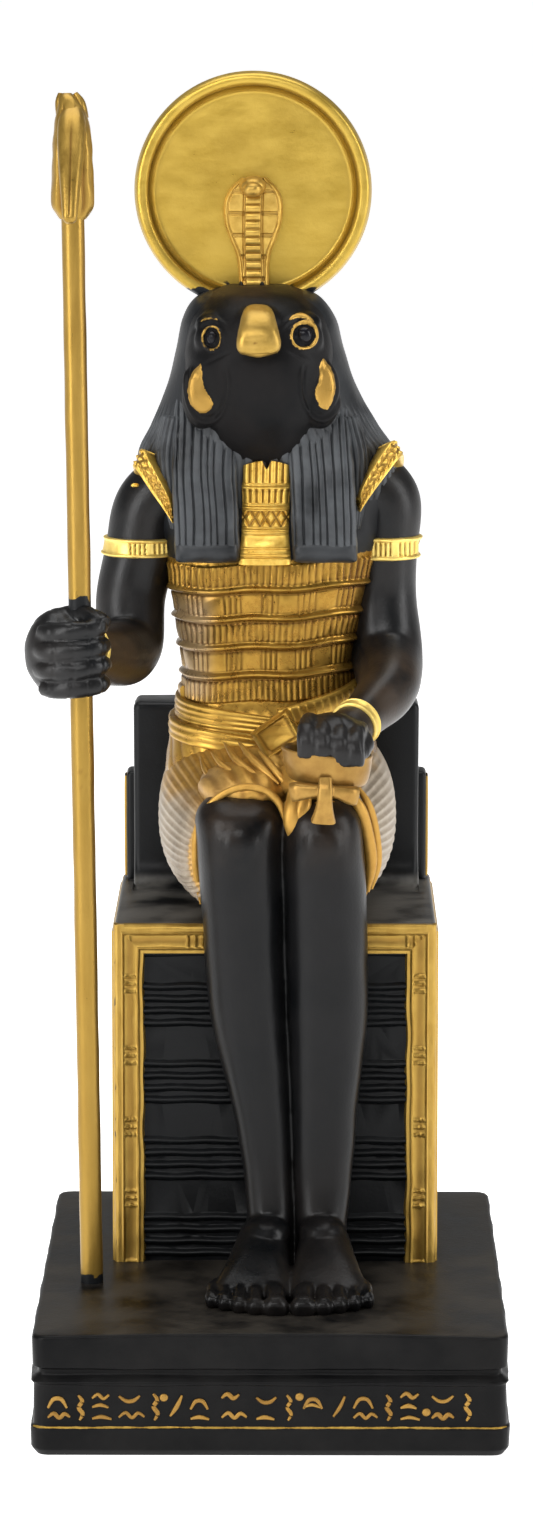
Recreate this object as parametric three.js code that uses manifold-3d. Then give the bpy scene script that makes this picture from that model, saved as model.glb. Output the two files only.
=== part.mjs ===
// A table figure of a seated falcon-headed god, cast in resin in one piece with its throne and plinth,
// with a separate sceptre that runs through the right fist into a socket in the plinth.
// Millimetres, +Z up. The origin is the middle of the underside, and the figure looks along -Y.
import * as THREE from "three";
import { mergeVertices } from "three/addons/utils/BufferGeometryUtils.js";
import Module from "manifold-3d";

const wasm = await Module();
wasm.setup();

// Driving sizes of the plinth
const PLINTH_WIDTH = 97.4;
const PLINTH_DEPTH = 128;
const PLINTH_HEIGHT = 25;
const PLINTH_CORNER = 3.4;
const SLAB_HEIGHT = 7; // the upper slab, above the groove
const SLAB_INSET = 0.4;
const GROOVE_HEIGHT = 0.8;
const GROOVE_DEPTH = 1.6;
const LEDGE_HEIGHT = 2; // the slope between the groove and the panel
const PANEL_HEIGHT = 9; // the band that holds the row of strokes
const PANEL_RECESS = 0.4;
const FOOT_CHAMFER = 1.6;
const OVERLAP = 0.6; // how far joined forms run into each other

// Driving sizes of the throne
const THRONE_WIDTH = 68.4;
const THRONE_SHIFT = 0.7; // how far the throne stands to one side of the plinth's middle
const THRONE_DEPTH = 62;
const SEAT_HEIGHT = 73.4; // above the plinth
const THRONE_SETBACK = 62; // from the plinth's front to the throne's front
const BACKREST_HEIGHT = 40.2;
const BACKREST_THICKNESS = 14;
const BACKREST_INSET = 3; // each end of the backrest stands in from the throne's side
const WING_INSET = 1.2;
const WING_HEIGHT = 24; // the lower wings behind the backrest
const WING_THICKNESS = 8;
const BACKREST_FILLET = 7;
const FRAME_WIDTH = 6.6; // the raised border round each panel
const FRAME_RELIEF = 1.2;
const RIB_RELIEF = 0.7;
const RIB_THICKNESS = 1.1;
const RIB_PITCH = 2.6;
const RIBS_IN_A_GROUP = 4;
const RIB_GROUPS = 4;

// Driving sizes of the figure: its shapes are hundredths of its height from the seat to the crown
const SITTING_HEIGHT = 133;
const SHOULDER_LEAN = 3; // how far the head stands to one side of the hips
const KNEE_OVERHANG = 21; // from the throne's front to the front of the knees
const KNEE_RISE = 31; // from the seat to the top of the knees
const FOOT_LENGTH = 46;
const FOOT_WIDTH = 16.8;
const DISC_RADIUS = 25.1;
const DISC_THICKNESS = 6;
const DISC_RIM = 2.6;
const DISC_SINK = 5; // how deep the disc stands in the crown

// Driving sizes of the sceptre
const STAFF_RADIUS = 2.4;
const STAFF_LENGTH = 254;
const STAFF_INSET = 11; // from the plinth's side to the staff's foot
const SOCKET_DEPTH = 6;
const STAFF_CLEARANCE = 0.3;
const STAFF_HEAD_HEIGHT = 25;
const STAFF_HEAD_REACH = 15;

const resinBlack = new THREE.MeshStandardMaterial({ color: 0x1b1c1e, roughness: 0.5, metalness: 0 });
const giltPaint = new THREE.MeshStandardMaterial({ color: 0xc0963c, roughness: 0.4, metalness: 0.7 });

// Places that follow from the sizes above
const plinthTop = PLINTH_HEIGHT;
const seatTop = plinthTop + SEAT_HEIGHT;
const throneFront = THRONE_SETBACK - PLINTH_DEPTH / 2;
const throneBack = throneFront + THRONE_DEPTH;
const backrestFront = throneBack - BACKREST_THICKNESS;
const kneeFront = throneFront - KNEE_OVERHANG;
const h = SITTING_HEIGHT / 100;
const torsoY = backrestFront - 16 * h;

// Solids and meshes

function solid(geometry) {
  const bare = geometry.index ? geometry.toNonIndexed() : geometry.clone();
  for (const name of Object.keys(bare.attributes)) {
    if (name !== "position") bare.deleteAttribute(name);
  }
  const merged = mergeVertices(bare, 1e-4);
  return new wasm.Manifold(
    new wasm.Mesh({
      numProp: 3,
      vertProperties: merged.attributes.position.array,
      triVerts: new Uint32Array(merged.index.array),
    }),
  );
}

function geometryOf(manifold) {
  const mesh = manifold.getMesh();
  const geometry = new THREE.BufferGeometry();
  geometry.setAttribute("position", new THREE.BufferAttribute(new Float32Array(mesh.vertProperties), 3));
  geometry.setIndex(new THREE.BufferAttribute(new Uint32Array(mesh.triVerts), 1));
  return geometry;
}

function joined(solids) {
  return solids.reduce((whole, next) => whole.add(next));
}

// A closed skin over rings of equally many points, each ring counterclockwise seen from the next one.
function skin(rings) {
  const sides = rings[0].length;
  const points = rings.flat();
  const faces = [];
  for (let i = 0; i + 1 < rings.length; i++) {
    for (let j = 0; j < sides; j++) {
      const a = i * sides + j;
      const b = i * sides + ((j + 1) % sides);
      faces.push(a, b, b + sides, a, b + sides, a + sides);
    }
  }
  const first = 0;
  const last = (rings.length - 1) * sides;
  for (const [start, turn] of [
    [first, true],
    [last, false],
  ]) {
    const middle = new THREE.Vector3();
    for (let j = 0; j < sides; j++) middle.addScaledVector(points[start + j], 1 / sides);
    points.push(middle);
    for (let j = 0; j < sides; j++) {
      const a = start + j;
      const b = start + ((j + 1) % sides);
      faces.push(points.length - 1, turn ? b : a, turn ? a : b);
    }
  }
  const geometry = new THREE.BufferGeometry().setFromPoints(points);
  geometry.setIndex(faces);
  return solid(geometry);
}

// One number between four evenly spaced ones, on a Catmull-Rom curve.
function blend(a, b, c, d, t) {
  const bend = 2 * a - 5 * b + 4 * c - d + (3 * b - a - 3 * c + d) * t;
  return b + 0.5 * t * (c - a + t * bend);
}

// Rows of numbers made smooth: as many rows as asked for, through the given stations.
function smoothed(stations, rows) {
  const at = (i) => stations[Math.min(stations.length - 1, Math.max(0, i))];
  return Array.from({ length: rows }, (_, row) => {
    const place = (row / (rows - 1)) * (stations.length - 1);
    const i = Math.min(stations.length - 2, Math.floor(place));
    return at(i).map((_, k) => blend(at(i - 1)[k], at(i)[k], at(i + 1)[k], at(i + 2)[k], place - i));
  });
}

// A limb: ovals of half sizes a and b along stations [x, y, z, a, b]. A power over 2 squares the oval. The
// flutes, one share for the whole limb or a sixth number in each station, take that share off every other
// point, which carves pleats or locks along the limb.
function limb(stations, { rings = 10, sides = 14, power = 2, flutes = 0, along = null, across = [1, 0, 0] } = {}) {
  const rows = smoothed(stations, rings);
  const centres = rows.map(([x, y, z]) => new THREE.Vector3(x, y, z));
  return skin(
    rows.map((row, i) => {
      const before = centres[Math.max(0, i - 1)];
      const after = centres[Math.min(rings - 1, i + 1)];
      const t = along ? new THREE.Vector3(...along) : after.clone().sub(before).normalize();
      const u = new THREE.Vector3(...across);
      u.addScaledVector(t, -u.dot(t)).normalize();
      const v = t.clone().cross(u);
      return Array.from({ length: sides }, (_, j) => {
        const angle = (2 * Math.PI * j) / sides;
        const [c, s] = [Math.cos(angle), Math.sin(angle)];
        const cut = 1 - (j % 2) * (row[5] ?? flutes);
        const reach = (share) => Math.sign(share) * Math.abs(share) ** (2 / power) * cut;
        return centres[i].clone().addScaledVector(u, row[3] * reach(c)).addScaledVector(v, row[4] * reach(s));
      });
    }),
  );
}

// A rounded knob with its middle and half sizes.
function knob([x, y, z], [a, b, c], sides = 12, rings = 6) {
  const geometry = new THREE.SphereGeometry(1, sides, rings);
  return solid(geometry.scale(a, b, c).translate(x, y, z));
}

// A box from its lowest corner to its highest.
function block(low, high) {
  const size = high.map((top, i) => top - low[i]);
  const geometry = new THREE.BoxGeometry(...size);
  return solid(geometry.translate(...low.map((bottom, i) => bottom + size[i] / 2)));
}

// A round bar between two points.
function bar(from, to, radius, sides = 16) {
  const start = new THREE.Vector3(...from);
  const run = new THREE.Vector3(...to).sub(start);
  const geometry = new THREE.CylinderGeometry(radius, radius, run.length(), sides);
  geometry.rotateX(Math.PI / 2).translate(0, 0, run.length() / 2);
  const turn = new THREE.Quaternion().setFromUnitVectors(new THREE.Vector3(0, 0, 1), run.clone().normalize());
  return solid(geometry.applyQuaternion(turn).translate(...start.toArray()));
}

// A point of the upper body, given in hundredths of the sitting height from the seat under the torso.
function onBody(x, y, z) {
  const lean = (-SHOULDER_LEAN * Math.max(0, z - 35)) / 58;
  return [x * h + lean, torsoY + y * h, seatTop + z * h];
}

function bodyStations(rows) {
  return rows.map(([x, y, z, a, b, ...flutes]) => [...onBody(x, y, z), a * h, b * h, ...flutes]);
}

// The plinth: one moulded outline carried up through its levels

function plinthRing(z, inset) {
  const [halfWidth, halfDepth] = [PLINTH_WIDTH / 2 - inset, PLINTH_DEPTH / 2 - inset];
  const points = [];
  const arc = 3;
  for (const [corner, [sx, sy]] of [[1, 1], [-1, 1], [-1, -1], [1, -1]].entries()) {
    for (let k = 0; k <= arc; k++) {
      const angle = (Math.PI / 2) * (corner + k / arc);
      points.push(
        new THREE.Vector3(
          sx * (halfWidth - PLINTH_CORNER) + PLINTH_CORNER * Math.cos(angle),
          sy * (halfDepth - PLINTH_CORNER) + PLINTH_CORNER * Math.sin(angle),
          z,
        ),
      );
    }
  }
  return points;
}

function makePlinth() {
  const slabFoot = PLINTH_HEIGHT - SLAB_HEIGHT;
  const grooveFoot = slabFoot - GROOVE_HEIGHT;
  const panelTop = grooveFoot - LEDGE_HEIGHT;
  const panelFoot = panelTop - PANEL_HEIGHT;
  const edge = PANEL_RECESS;
  const levels = [
    [0, FOOT_CHAMFER],
    [FOOT_CHAMFER, edge / 2],
    [panelFoot - edge, 0],
    [panelFoot, PANEL_RECESS],
    [panelTop, PANEL_RECESS],
    [panelTop + edge, 0],
    [grooveFoot, GROOVE_DEPTH / 2],
    [grooveFoot + edge / 2, GROOVE_DEPTH],
    [slabFoot, GROOVE_DEPTH],
    [slabFoot + edge / 2, SLAB_INSET],
    [PLINTH_HEIGHT - edge, SLAB_INSET],
    [PLINTH_HEIGHT, SLAB_INSET + edge],
  ];
  return skin(levels.map(([z, inset]) => plinthRing(z, inset)));
}

// The throne: a side outline with a filleted backrest, framed panels and grouped ribs

function throneOutline() {
  const outline = new THREE.Shape();
  const backrestTop = seatTop + BACKREST_HEIGHT;
  const round = BACKREST_THICKNESS / 4;
  const sunk = plinthTop - OVERLAP;
  outline.moveTo(throneFront, sunk);
  outline.lineTo(throneBack, sunk);
  outline.lineTo(throneBack, backrestTop - round);
  outline.absarc(throneBack - round, backrestTop - round, round, 0, Math.PI / 2, false);
  outline.lineTo(backrestFront + round, backrestTop);
  outline.absarc(backrestFront + round, backrestTop - round, round, Math.PI / 2, Math.PI, false);
  outline.lineTo(backrestFront, seatTop + BACKREST_FILLET);
  outline.absarc(
    backrestFront - BACKREST_FILLET,
    seatTop + BACKREST_FILLET,
    BACKREST_FILLET,
    0,
    -Math.PI / 2,
    true,
  );
  outline.lineTo(throneFront, seatTop);
  return outline;
}

// The side outline lies in x and y of the shape, which become the part's Y and Z, and is carried along X.
function sideExtrusion(outline, width) {
  const geometry = new THREE.ExtrudeGeometry(outline, { depth: width, bevelEnabled: false, curveSegments: 4 });
  const turn = new THREE.Matrix4().makeBasis(
    new THREE.Vector3(0, 1, 0),
    new THREE.Vector3(0, 0, 1),
    new THREE.Vector3(1, 0, 0),
  );
  return solid(geometry.applyMatrix4(turn).translate(-width / 2, 0, 0));
}

// Heights of the ribs, group by group, down the panel.
function ribHeights() {
  const panel = SEAT_HEIGHT - FRAME_WIDTH;
  const groupPitch = panel / RIB_GROUPS;
  const heights = [];
  for (let group = 0; group < RIB_GROUPS; group++) {
    for (let rib = 0; rib < RIBS_IN_A_GROUP; rib++) {
      heights.push(plinthTop + groupPitch * group + RIB_PITCH * (rib + 0.5));
    }
  }
  return heights;
}

// A block between two corners, given from the throne's middle.
function throneBlock([x0, y0, z0], [x1, y1, z1]) {
  const [left, right] = [Math.min(x0, x1), Math.max(x0, x1)];
  return block([left + THRONE_SHIFT, y0, z0], [right + THRONE_SHIFT, y1, z1]);
}

function makeThrone() {
  const half = THRONE_WIDTH / 2;
  const low = plinthTop - OVERLAP;
  const over = OVERLAP;
  const restTop = seatTop + BACKREST_HEIGHT + over;
  const restFoot = backrestFront - BACKREST_FILLET;
  const wingFront = throneBack - WING_THICKNESS;
  const wingTop = seatTop + WING_HEIGHT;
  const panelTop = seatTop - FRAME_WIDTH;
  let throne = sideExtrusion(throneOutline(), THRONE_WIDTH).translate([THRONE_SHIFT, 0, 0]);
  for (const side of [-1, 1]) {
    const out = side * (half + over);
    const rest = side * (half - BACKREST_INSET);
    const wing = side * (half - WING_INSET);
    const face = side * (half - FRAME_RELIEF);
    throne = throne.subtract(throneBlock([rest, restFoot, seatTop], [out, wingFront, restTop]));
    throne = throne.subtract(throneBlock([rest, wingFront - over, wingTop], [out, throneBack + over, restTop]));
    throne = throne.subtract(throneBlock([wing, wingFront - over, seatTop], [out, throneBack + over, restTop]));
    throne = throne.subtract(
      throneBlock([face, throneFront + FRAME_WIDTH, low - over], [out, throneBack - FRAME_WIDTH, panelTop]),
    );
  }
  const inner = half - FRAME_WIDTH;
  const recess = throneFront + FRAME_RELIEF;
  throne = throne.subtract(throneBlock([-inner, throneFront - over, low - over], [inner, recess, panelTop]));
  const ribs = ribHeights().map((z) =>
    throneBlock([-inner - over, recess - RIB_RELIEF, z], [inner + over, recess + over, z + RIB_THICKNESS]),
  );
  return joined([throne, ...ribs]);
}

// The lap: hips and thighs under one pleated kilt, carried from the backrest to the hem over the knees

function onLap(share) {
  const hem = kneeFront + 10 * h;
  return backrestFront + OVERLAP + (hem - backrestFront - OVERLAP) * share;
}

function makeKilt() {
  const rows = [
    [0.0, 0.0, 15.0, 14.3, 11.3, 0],
    [0.1, 0.0, 15.6, 17.8, 14.7, 0],
    [0.3, 0.2, 15.6, 19.1, 15.8, 0.02],
    [0.55, 0.3, 15.0, 19.2, 15.2, 0.03],
    [0.75, 0.4, 13.7, 18.2, 13.5, 0.035],
    [0.9, 0.5, 12.5, 16.6, 11.9, 0.035],
    [1.0, 0.5, 12.0, 14.6, 10.2, 0],
  ];
  const stations = rows.map(([share, x, z, a, b, pleats]) => [
    x * h + THRONE_SHIFT,
    onLap(share),
    seatTop + z * h,
    a * h,
    b * h,
    pleats,
  ]);
  return limb(stations, { rings: 7, sides: 28, power: 2.3, along: [0, -1, 0] });
}

// The legs: shins from the knees to the plinth, and feet with five toes each

// Each leg's middle and half width, and their depths, at shares of the height from the plinth to the knee. Like
// the feet below, they are hundredths of the sitting height.
const SHIN_SHARES = [0, 0.12, 0.2, 0.36, 0.54, 0.74, 0.88, 0.95];
const SHIN_DEPTHS = [
  [-9.4, 6.77],
  [-8.57, 4.96],
  [-7.97, 4.51],
  [-7.22, 5.11],
  [-6.47, 6.47],
  [-7.07, 7.07],
  [-7.82, 7.67],
  [-7.52, 7.37],
];
const LEGS = [
  {
    widths: [
      [-0.08, 4.06],
      [-0.08, 3.76],
      [-0.45, 3.76],
      [-1.65, 4.66],
      [-3.68, 6.02],
      [-4.51, 6.39],
      [-4.89, 6.77],
      [-4.96, 7.07],
    ],
    foot: -3.38,
    toeSide: 1,
  },
  {
    widths: [
      [7.74, 4.21],
      [7.82, 4.21],
      [8.05, 4.59],
      [8.35, 5.34],
      [8.8, 6.39],
      [8.57, 6.54],
      [8.05, 6.47],
      [7.89, 6.17],
    ],
    foot: 9.25,
    toeSide: -1,
  },
];

function makeShin({ widths }) {
  const top = seatTop + KNEE_RISE - 0.8 * h;
  const sunk = plinthTop - OVERLAP;
  const height = (share) => sunk + (top - sunk) * share;
  const stations = SHIN_SHARES.map((share, i) => {
    const [[x, a], [y, b]] = [widths[i], SHIN_DEPTHS[i]];
    return [x * h, throneFront + y * h, height(share), a * h, b * h];
  });
  const [x, y, , a, b] = stations.at(-1);
  stations.push([x, y + 0.8 * h, height(0.985), a * 0.75, b * 0.7]);
  stations.push([x, y + 1.5 * h, height(1), a * 0.3, b * 0.3]);
  return limb(stations, { rings: 10, sides: 10, power: 2.2, along: [0, 0, 1] });
}

function makeFoot({ foot, widths, toeSide }) {
  const [ankleX, footX] = [widths[0][0] * h, foot * h];
  const heel = throneFront - OVERLAP;
  const half = FOOT_WIDTH / 2;
  const along = (share) => heel - FOOT_LENGTH * share;
  const floor = plinthTop - OVERLAP;
  const rows = [
    [0.0, 0.42, 3.8, 2.3],
    [0.14, 0.62, 5.6, 4.5],
    [0.34, 0.72, 5.7, 5.7],
    [0.6, 0.92, 4.1, 4.2],
    [0.82, 1.02, 2.6, 2.8],
    [0.93, 0.94, 2.0, 2.1],
  ];
  const stations = rows.map(([share, wide, z, tall], i) => {
    const middle = ankleX + (footX - ankleX) * (i / (rows.length - 1));
    return [middle, along(share), floor + z * h, wide * half, tall * h];
  });
  const solids = [limb(stations, { rings: 6, sides: 10, power: 2.4, along: [0, -1, 0] })];
  for (let toe = 0; toe < 5; toe++) {
    const x = footX + toeSide * (1 - toe / 2) * half * 0.8;
    const size = toe === 0 ? 1.25 : 0.95 - 0.06 * toe;
    const y = along(0.94 - 0.012 * toe * toe);
    solids.push(knob([x, y, floor + 2 * h * size], [half * 0.22 * size, 2.7 * h, 2.2 * h * size], 5, 4));
  }
  const under = 2 * PLINTH_DEPTH;
  return joined(solids).subtract(block([-under, -under, -under], [under, under, floor]));
}

// The torso under its banded corselet

const TORSO = [
  [0.2, -0.5, 22.0, 17.6, 13.0],
  [-0.2, -0.8, 29.0, 16.2, 12.0],
  [-0.4, -0.8, 35.0, 14.0, 10.8],
  [-0.2, -1.0, 44.0, 14.4, 10.8],
  [0.4, -1.0, 54.0, 16.4, 11.6],
  [1.0, -0.6, 62.0, 18.6, 11.2],
  [1.4, 0.0, 69.0, 19.0, 10.0],
  [1.6, 0.4, 75.0, 12.0, 8.0],
];

// Heights of the corselet's bands, as [foot, how far it stands out, how deep its pleats are].
const CORSELET = [
  [33.6, 0, 0],
  [34.6, 0.3, 0.04],
  [37.4, 0.3, 0.04],
  [37.7, 0.9, 0],
  [39.0, 0.9, 0],
  [39.3, 0.1, 0],
  [42.1, 0.1, 0],
  [42.4, 0.9, 0],
  [43.7, 0.9, 0],
  [44.0, 0.3, 0.04],
  [46.8, 0.3, 0.04],
  [47.1, 0.9, 0],
  [48.4, 0.9, 0],
  [48.7, 0.1, 0],
  [51.5, 0.1, 0],
  [51.8, 0.9, 0],
  [53.0, 0.9, 0],
  [53.3, 0.3, 0.04],
  [57.4, 0.3, 0.04],
  [58.0, 0, 0],
];

function makeTorso() {
  const rows = smoothed(TORSO, 61);
  const fine = CORSELET.map(([z, out, pleats]) => {
    const i = rows.findIndex((row) => row[2] >= z);
    const [x, y, , a, b] = rows[i];
    return [x, y, z, a + out, b + out, pleats];
  });
  const lower = TORSO.filter((row) => row[2] < CORSELET[0][0]);
  const upper = TORSO.filter((row) => row[2] > CORSELET.at(-1)[0]);
  const stations = [...lower.map((row) => [...row, 0]), ...fine, ...upper.map((row) => [...row, 0])];
  return limb(bodyStations(stations), { rings: stations.length, sides: 14, power: 2.3, along: [0, 0, 1] });
}

// The belt that crosses over the lap, and its plaque

function makeBelt() {
  const run = [
    [-13.6, -2.0, 33.6, 1.0, 2.0],
    [-9.0, -9.0, 33.2, 1.0, 2.2],
    [-2.0, -12.2, 31.2, 1.0, 2.4],
    [4.0, -13.2, 29.4, 1.0, 2.0],
  ];
  const cross = [
    [12.6, -2.6, 35.8, 1.0, 1.4],
    [8.0, -9.2, 34.0, 1.0, 1.5],
    [2.0, -13.0, 30.6, 1.0, 2.6],
    [-1.0, -14.0, 28.4, 1.2, 2.6],
  ];
  return joined(
    [run, cross].map((rows) => limb(bodyStations(rows), { rings: 4, sides: 6, power: 3, across: [0, 1, 0] })),
  );
}

// The arms: shoulder, elbow, wrist, then a fist; armlets and wristbands lie round them

const RIGHT_ARM = [
  [-14.2, 0.0, 68.0, 6.2, 6.8],
  [-18.4, 0.0, 64.2, 6.0, 6.6],
  [-20.2, -0.2, 57.6, 5.8, 6.2],
  [-22.2, -1.0, 50.0, 5.6, 5.8],
  [-22.7, -4.0, 42.6, 5.4, 5.6],
  [-25.0, -14.0, 42.4, 4.8, 5.0],
  [-28.2, -25.0, 44.4, 3.9, 4.0],
  [-30.0, -29.0, 45.2, 3.8, 4.0],
];
const LEFT_ARM = [
  [15.0, 0.0, 69.0, 6.2, 6.8],
  [19.2, 0.0, 65.2, 5.8, 6.4],
  [18.9, -0.4, 57.0, 5.2, 5.8],
  [18.4, -1.0, 49.0, 5.4, 5.6],
  [18.6, -4.0, 41.0, 5.8, 5.6],
  [18.4, -14.0, 37.0, 4.8, 4.8],
  [14.4, -23.0, 33.8, 3.6, 3.7],
  [11.0, -30.0, 31.8, 3.8, 3.2],
];

// Rows along an arm, as [share of its length, how far it stands out]: the armlet, then the wristband.
const ARM_ROWS = [
  [0, 0],
  [0.12, 0],
  [0.235, 0],
  [0.24, 0.6],
  [0.31, 0.6],
  [0.315, 0],
  [0.42, 0],
  [0.52, 0],
  [0.62, 0],
  [0.76, 0],
  [0.86, 0],
  [0.865, 0.6],
  [0.9, 0.6],
  [0.905, 0],
  [1, 0],
];

function makeArm(stations) {
  const rows = smoothed(stations, 201);
  const chosen = ARM_ROWS.map(([share, out]) => {
    const [x, y, z, a, b] = rows[Math.round(share * 200)];
    return [x, y, z, a + out, b + out];
  });
  return limb(bodyStations(chosen), { rings: chosen.length, sides: 10 });
}

// A finger curled round from its knuckle: a short bent limb through three points.
function finger(points, radius) {
  const rows = points.map((point, i) => [...onBody(...point), radius * h * (i ? 1 : 0.8), radius * h]);
  return limb(rows, { rings: 4, sides: 5, across: [0, 0, 1] });
}

const GRIP = [-29.2, -32.8, 45.4];

function makeRightFist() {
  const [x, y, z] = GRIP;
  const solids = [knob(onBody(x - 2.8, y + 0.8, z - 0.4), [5.4 * h, 5.4 * h, 6.2 * h], 8, 5)];
  for (let row = 0; row < 4; row++) {
    const level = z + 3.8 - 2.9 * row;
    const drop = row === 0 || row === 3 ? 1.2 : 0;
    const curl = [
      [x - 7.0 + drop, y + 1.0, level - 0.6],
      [x - 5.2, y - 5.0, level - 0.3],
      [x + 0.2, y - 5.6, level + 0.2],
      [x + 3.8, y - 2.6, level + 0.5],
    ];
    solids.push(finger(curl, 1.6));
  }
  const thumb = [
    [x - 3.0, y + 3.4, z + 4.6],
    [x + 1.6, y - 1.0, z + 5.6],
    [x + 4.2, y - 3.8, z + 5.0],
  ];
  solids.push(finger(thumb, 1.6));
  return joined(solids);
}

const LEFT_FIST = [10.0, -33.4, 31.6];

function makeLeftFist() {
  const [x, y, z] = LEFT_FIST;
  const solids = [knob(onBody(x, y + 1.6, z), [5.2 * h, 4.8 * h, 3.6 * h], 8, 5)];
  for (let row = 0; row < 4; row++) {
    const along = x - 3.9 + 2.6 * row;
    const level = z - 0.5 * row;
    const curl = [
      [along + 0.4, y + 1.0, level + 2.2],
      [along, y - 3.8, level + 1.4],
      [along, y - 4.6, level - 2.2],
    ];
    solids.push(finger(curl, 1.45));
  }
  return joined(solids);
}

// The looped cross: a band round the left fist, two arms and a stem that hangs over the knee

function makeLoopedCross() {
  const [x, y, z] = [8.7, -32.8, 27.6];
  const loop = (a, b, low, high) =>
    limb(
      bodyStations([
        [x, y, low, a, b],
        [x, y, high, a * 1.06, b * 1.06],
      ]),
      { rings: 2, sides: 16, along: [0, 0, 1] },
    );
  const band = loop(6.8, 6.4, z - 2.6, z + 2.2).subtract(loop(5.6, 5.2, z + 0.8, z + 3.0));
  const solids = [band];
  for (const [side, drop, tip] of [
    [-1, 0, 6.6],
    [1, -0.4, 5.4],
  ]) {
    const arm = [
      [x + side * 0.6, y - 5.6, z - 2.8, 1.2, 1.2],
      [x + side * tip, y - 4.2, z - 2.6 + drop, 1.2, 2.2],
    ];
    solids.push(limb(bodyStations(arm), { rings: 2, sides: 6, power: 3, across: [0, 1, 0] }));
  }
  const stem = [
    [x - 0.6, y - 6.2, z - 1.6, 1.5, 1.1],
    [x - 0.8, y - 6.8, z - 4.4, 1.7, 1.1],
    [x - 1.2, y - 5.6, z - 8.0, 2.6, 1.3],
  ];
  solids.push(limb(bodyStations(stem), { rings: 4, sides: 8, power: 4 }));
  return joined(solids);
}

// The head: a falcon's face set in a fluted wig with two lappets

function makeWig() {
  const cap = [
    [0.6, 2.6, 52.0, 13.0, 5.0],
    [0.6, 1.8, 57.0, 17.0, 9.0],
    [0.6, 0.4, 66.0, 20.4, 11.4],
    [0.6, -1.0, 73.0, 20.6, 12.0],
    [0.4, -2.4, 78.0, 18.0, 12.2],
    [0.2, -3.2, 84.0, 15.2, 12.4],
    [0.2, -3.6, 90.0, 13.4, 12.4],
    [0.2, -3.8, 95.0, 12.2, 11.4],
    [0.2, -3.8, 98.6, 9.6, 9.2],
    [0.2, -3.8, 100.0, 5.0, 5.0],
  ];
  return limb(bodyStations(cap), { rings: 8, sides: 32, power: 2.2, flutes: 0.035, along: [0, 0, 1] });
}

// One lappet: locks side by side over a plain hem, in one block that is fluted above the hem.
function makeLappet(side) {
  const [inner, outer] = [4.4, 14.2];
  const middle = (side * (inner + outer)) / 2;
  const half = (outer - inner) / 2;
  const rows = [
    [middle, -11.2, 57.2, half, 2.8, 0],
    [middle, -11.6, 60.0, half, 3.0, 0],
    [middle, -11.8, 60.3, half, 2.9, 0.14],
    [middle, -12.2, 67.0, half, 2.8, 0.14],
    [middle * 0.98, -10.8, 74.0, half, 2.8, 0.14],
    [middle * 0.94, -8.6, 81.0, half * 0.9, 2.4, 0.14],
  ];
  return limb(bodyStations(rows), { rings: rows.length, sides: 20, power: 6, along: [0, 0, 1] });
}

function makeFace() {
  const skull = [
    [0.0, -9.0, 66.0, 6.0, 5.0],
    [0.0, -10.2, 74.0, 7.2, 6.4],
    [0.0, -11.0, 80.0, 9.6, 7.4],
    [0.0, -10.4, 86.0, 11.4, 9.6],
    [0.1, -9.0, 91.0, 11.6, 11.0],
    [0.2, -7.4, 95.6, 10.6, 10.6],
    [0.2, -5.6, 99.0, 8.0, 8.4],
    [0.2, -4.6, 100.2, 4.6, 5.0],
  ];
  const solids = [limb(bodyStations(skull), { rings: 9, sides: 14, along: [0, 0, 1] })];
  for (const side of [-1, 1]) {
    solids.push(knob(onBody(side * 7.4 + 0.2, -15.4, 92.6), [2.2 * h, 2.2 * h, 2.4 * h], 6, 4));
    solids.push(knob(onBody(side * 7.2 + 0.2, -15.0, 95.2), [2.8 * h, 1.8 * h, 0.9 * h], 5, 4));
    solids.push(knob(onBody(side * 9.4 + 0.2, -14.4, 83.6), [2.8 * h, 2.6 * h, 5.4 * h], 8, 5));
  }
  return joined(solids);
}

function makeBeak() {
  const rows = [
    [0.2, -16.0, 95.0, 3.0, 3.6],
    [0.2, -20.6, 94.0, 3.7, 3.9],
    [0.2, -23.8, 91.8, 4.1, 3.6],
    [0.2, -25.4, 89.6, 3.2, 2.2],
    [0.2, -25.6, 88.2, 1.2, 0.9],
  ];
  return limb(bodyStations(rows), { rings: 7, sides: 10, power: 2.4 });
}

// The pectoral between the lappets: three courses of upright bars over a plain panel.
function makePectoral() {
  const face = (z) => -12.6 + Math.max(0, z - 62) * 0.16;
  const courses = [
    [57.6, 0],
    [61.8, 0],
    [62.2, 0.12],
    [65.6, 0.12],
    [66.0, 0],
    [66.8, 0],
    [67.2, 0.12],
    [70.4, 0.12],
    [70.8, 0],
    [71.6, 0],
    [72.0, 0.12],
    [75.4, 0.12],
  ];
  const rows = courses.map(([z, bars]) => [0, face(z), z, bars ? 4.2 : 4.5, bars ? 2.0 : 2.3, bars]);
  return limb(bodyStations(rows), { rings: rows.length, sides: 12, power: 7, along: [0, 0, 1] });
}

// Collar ends that show between the wig and each shoulder
function makeCollar(side) {
  const rows = [
    [side * 14.8, -9.4, 62.0, 0.7, 0.6],
    [side * 16.8, -8.4, 65.0, 2.2, 1.2],
    [side * 18.4, -6.4, 68.4, 2.6, 1.2],
    [side * 19.2, -2.6, 70.8, 2.2, 1.2],
  ];
  return limb(bodyStations(rows), { rings: 6, sides: 8, power: 3 });
}

// The sun disc with its raised rim, and the reared cobra in front of it

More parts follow.
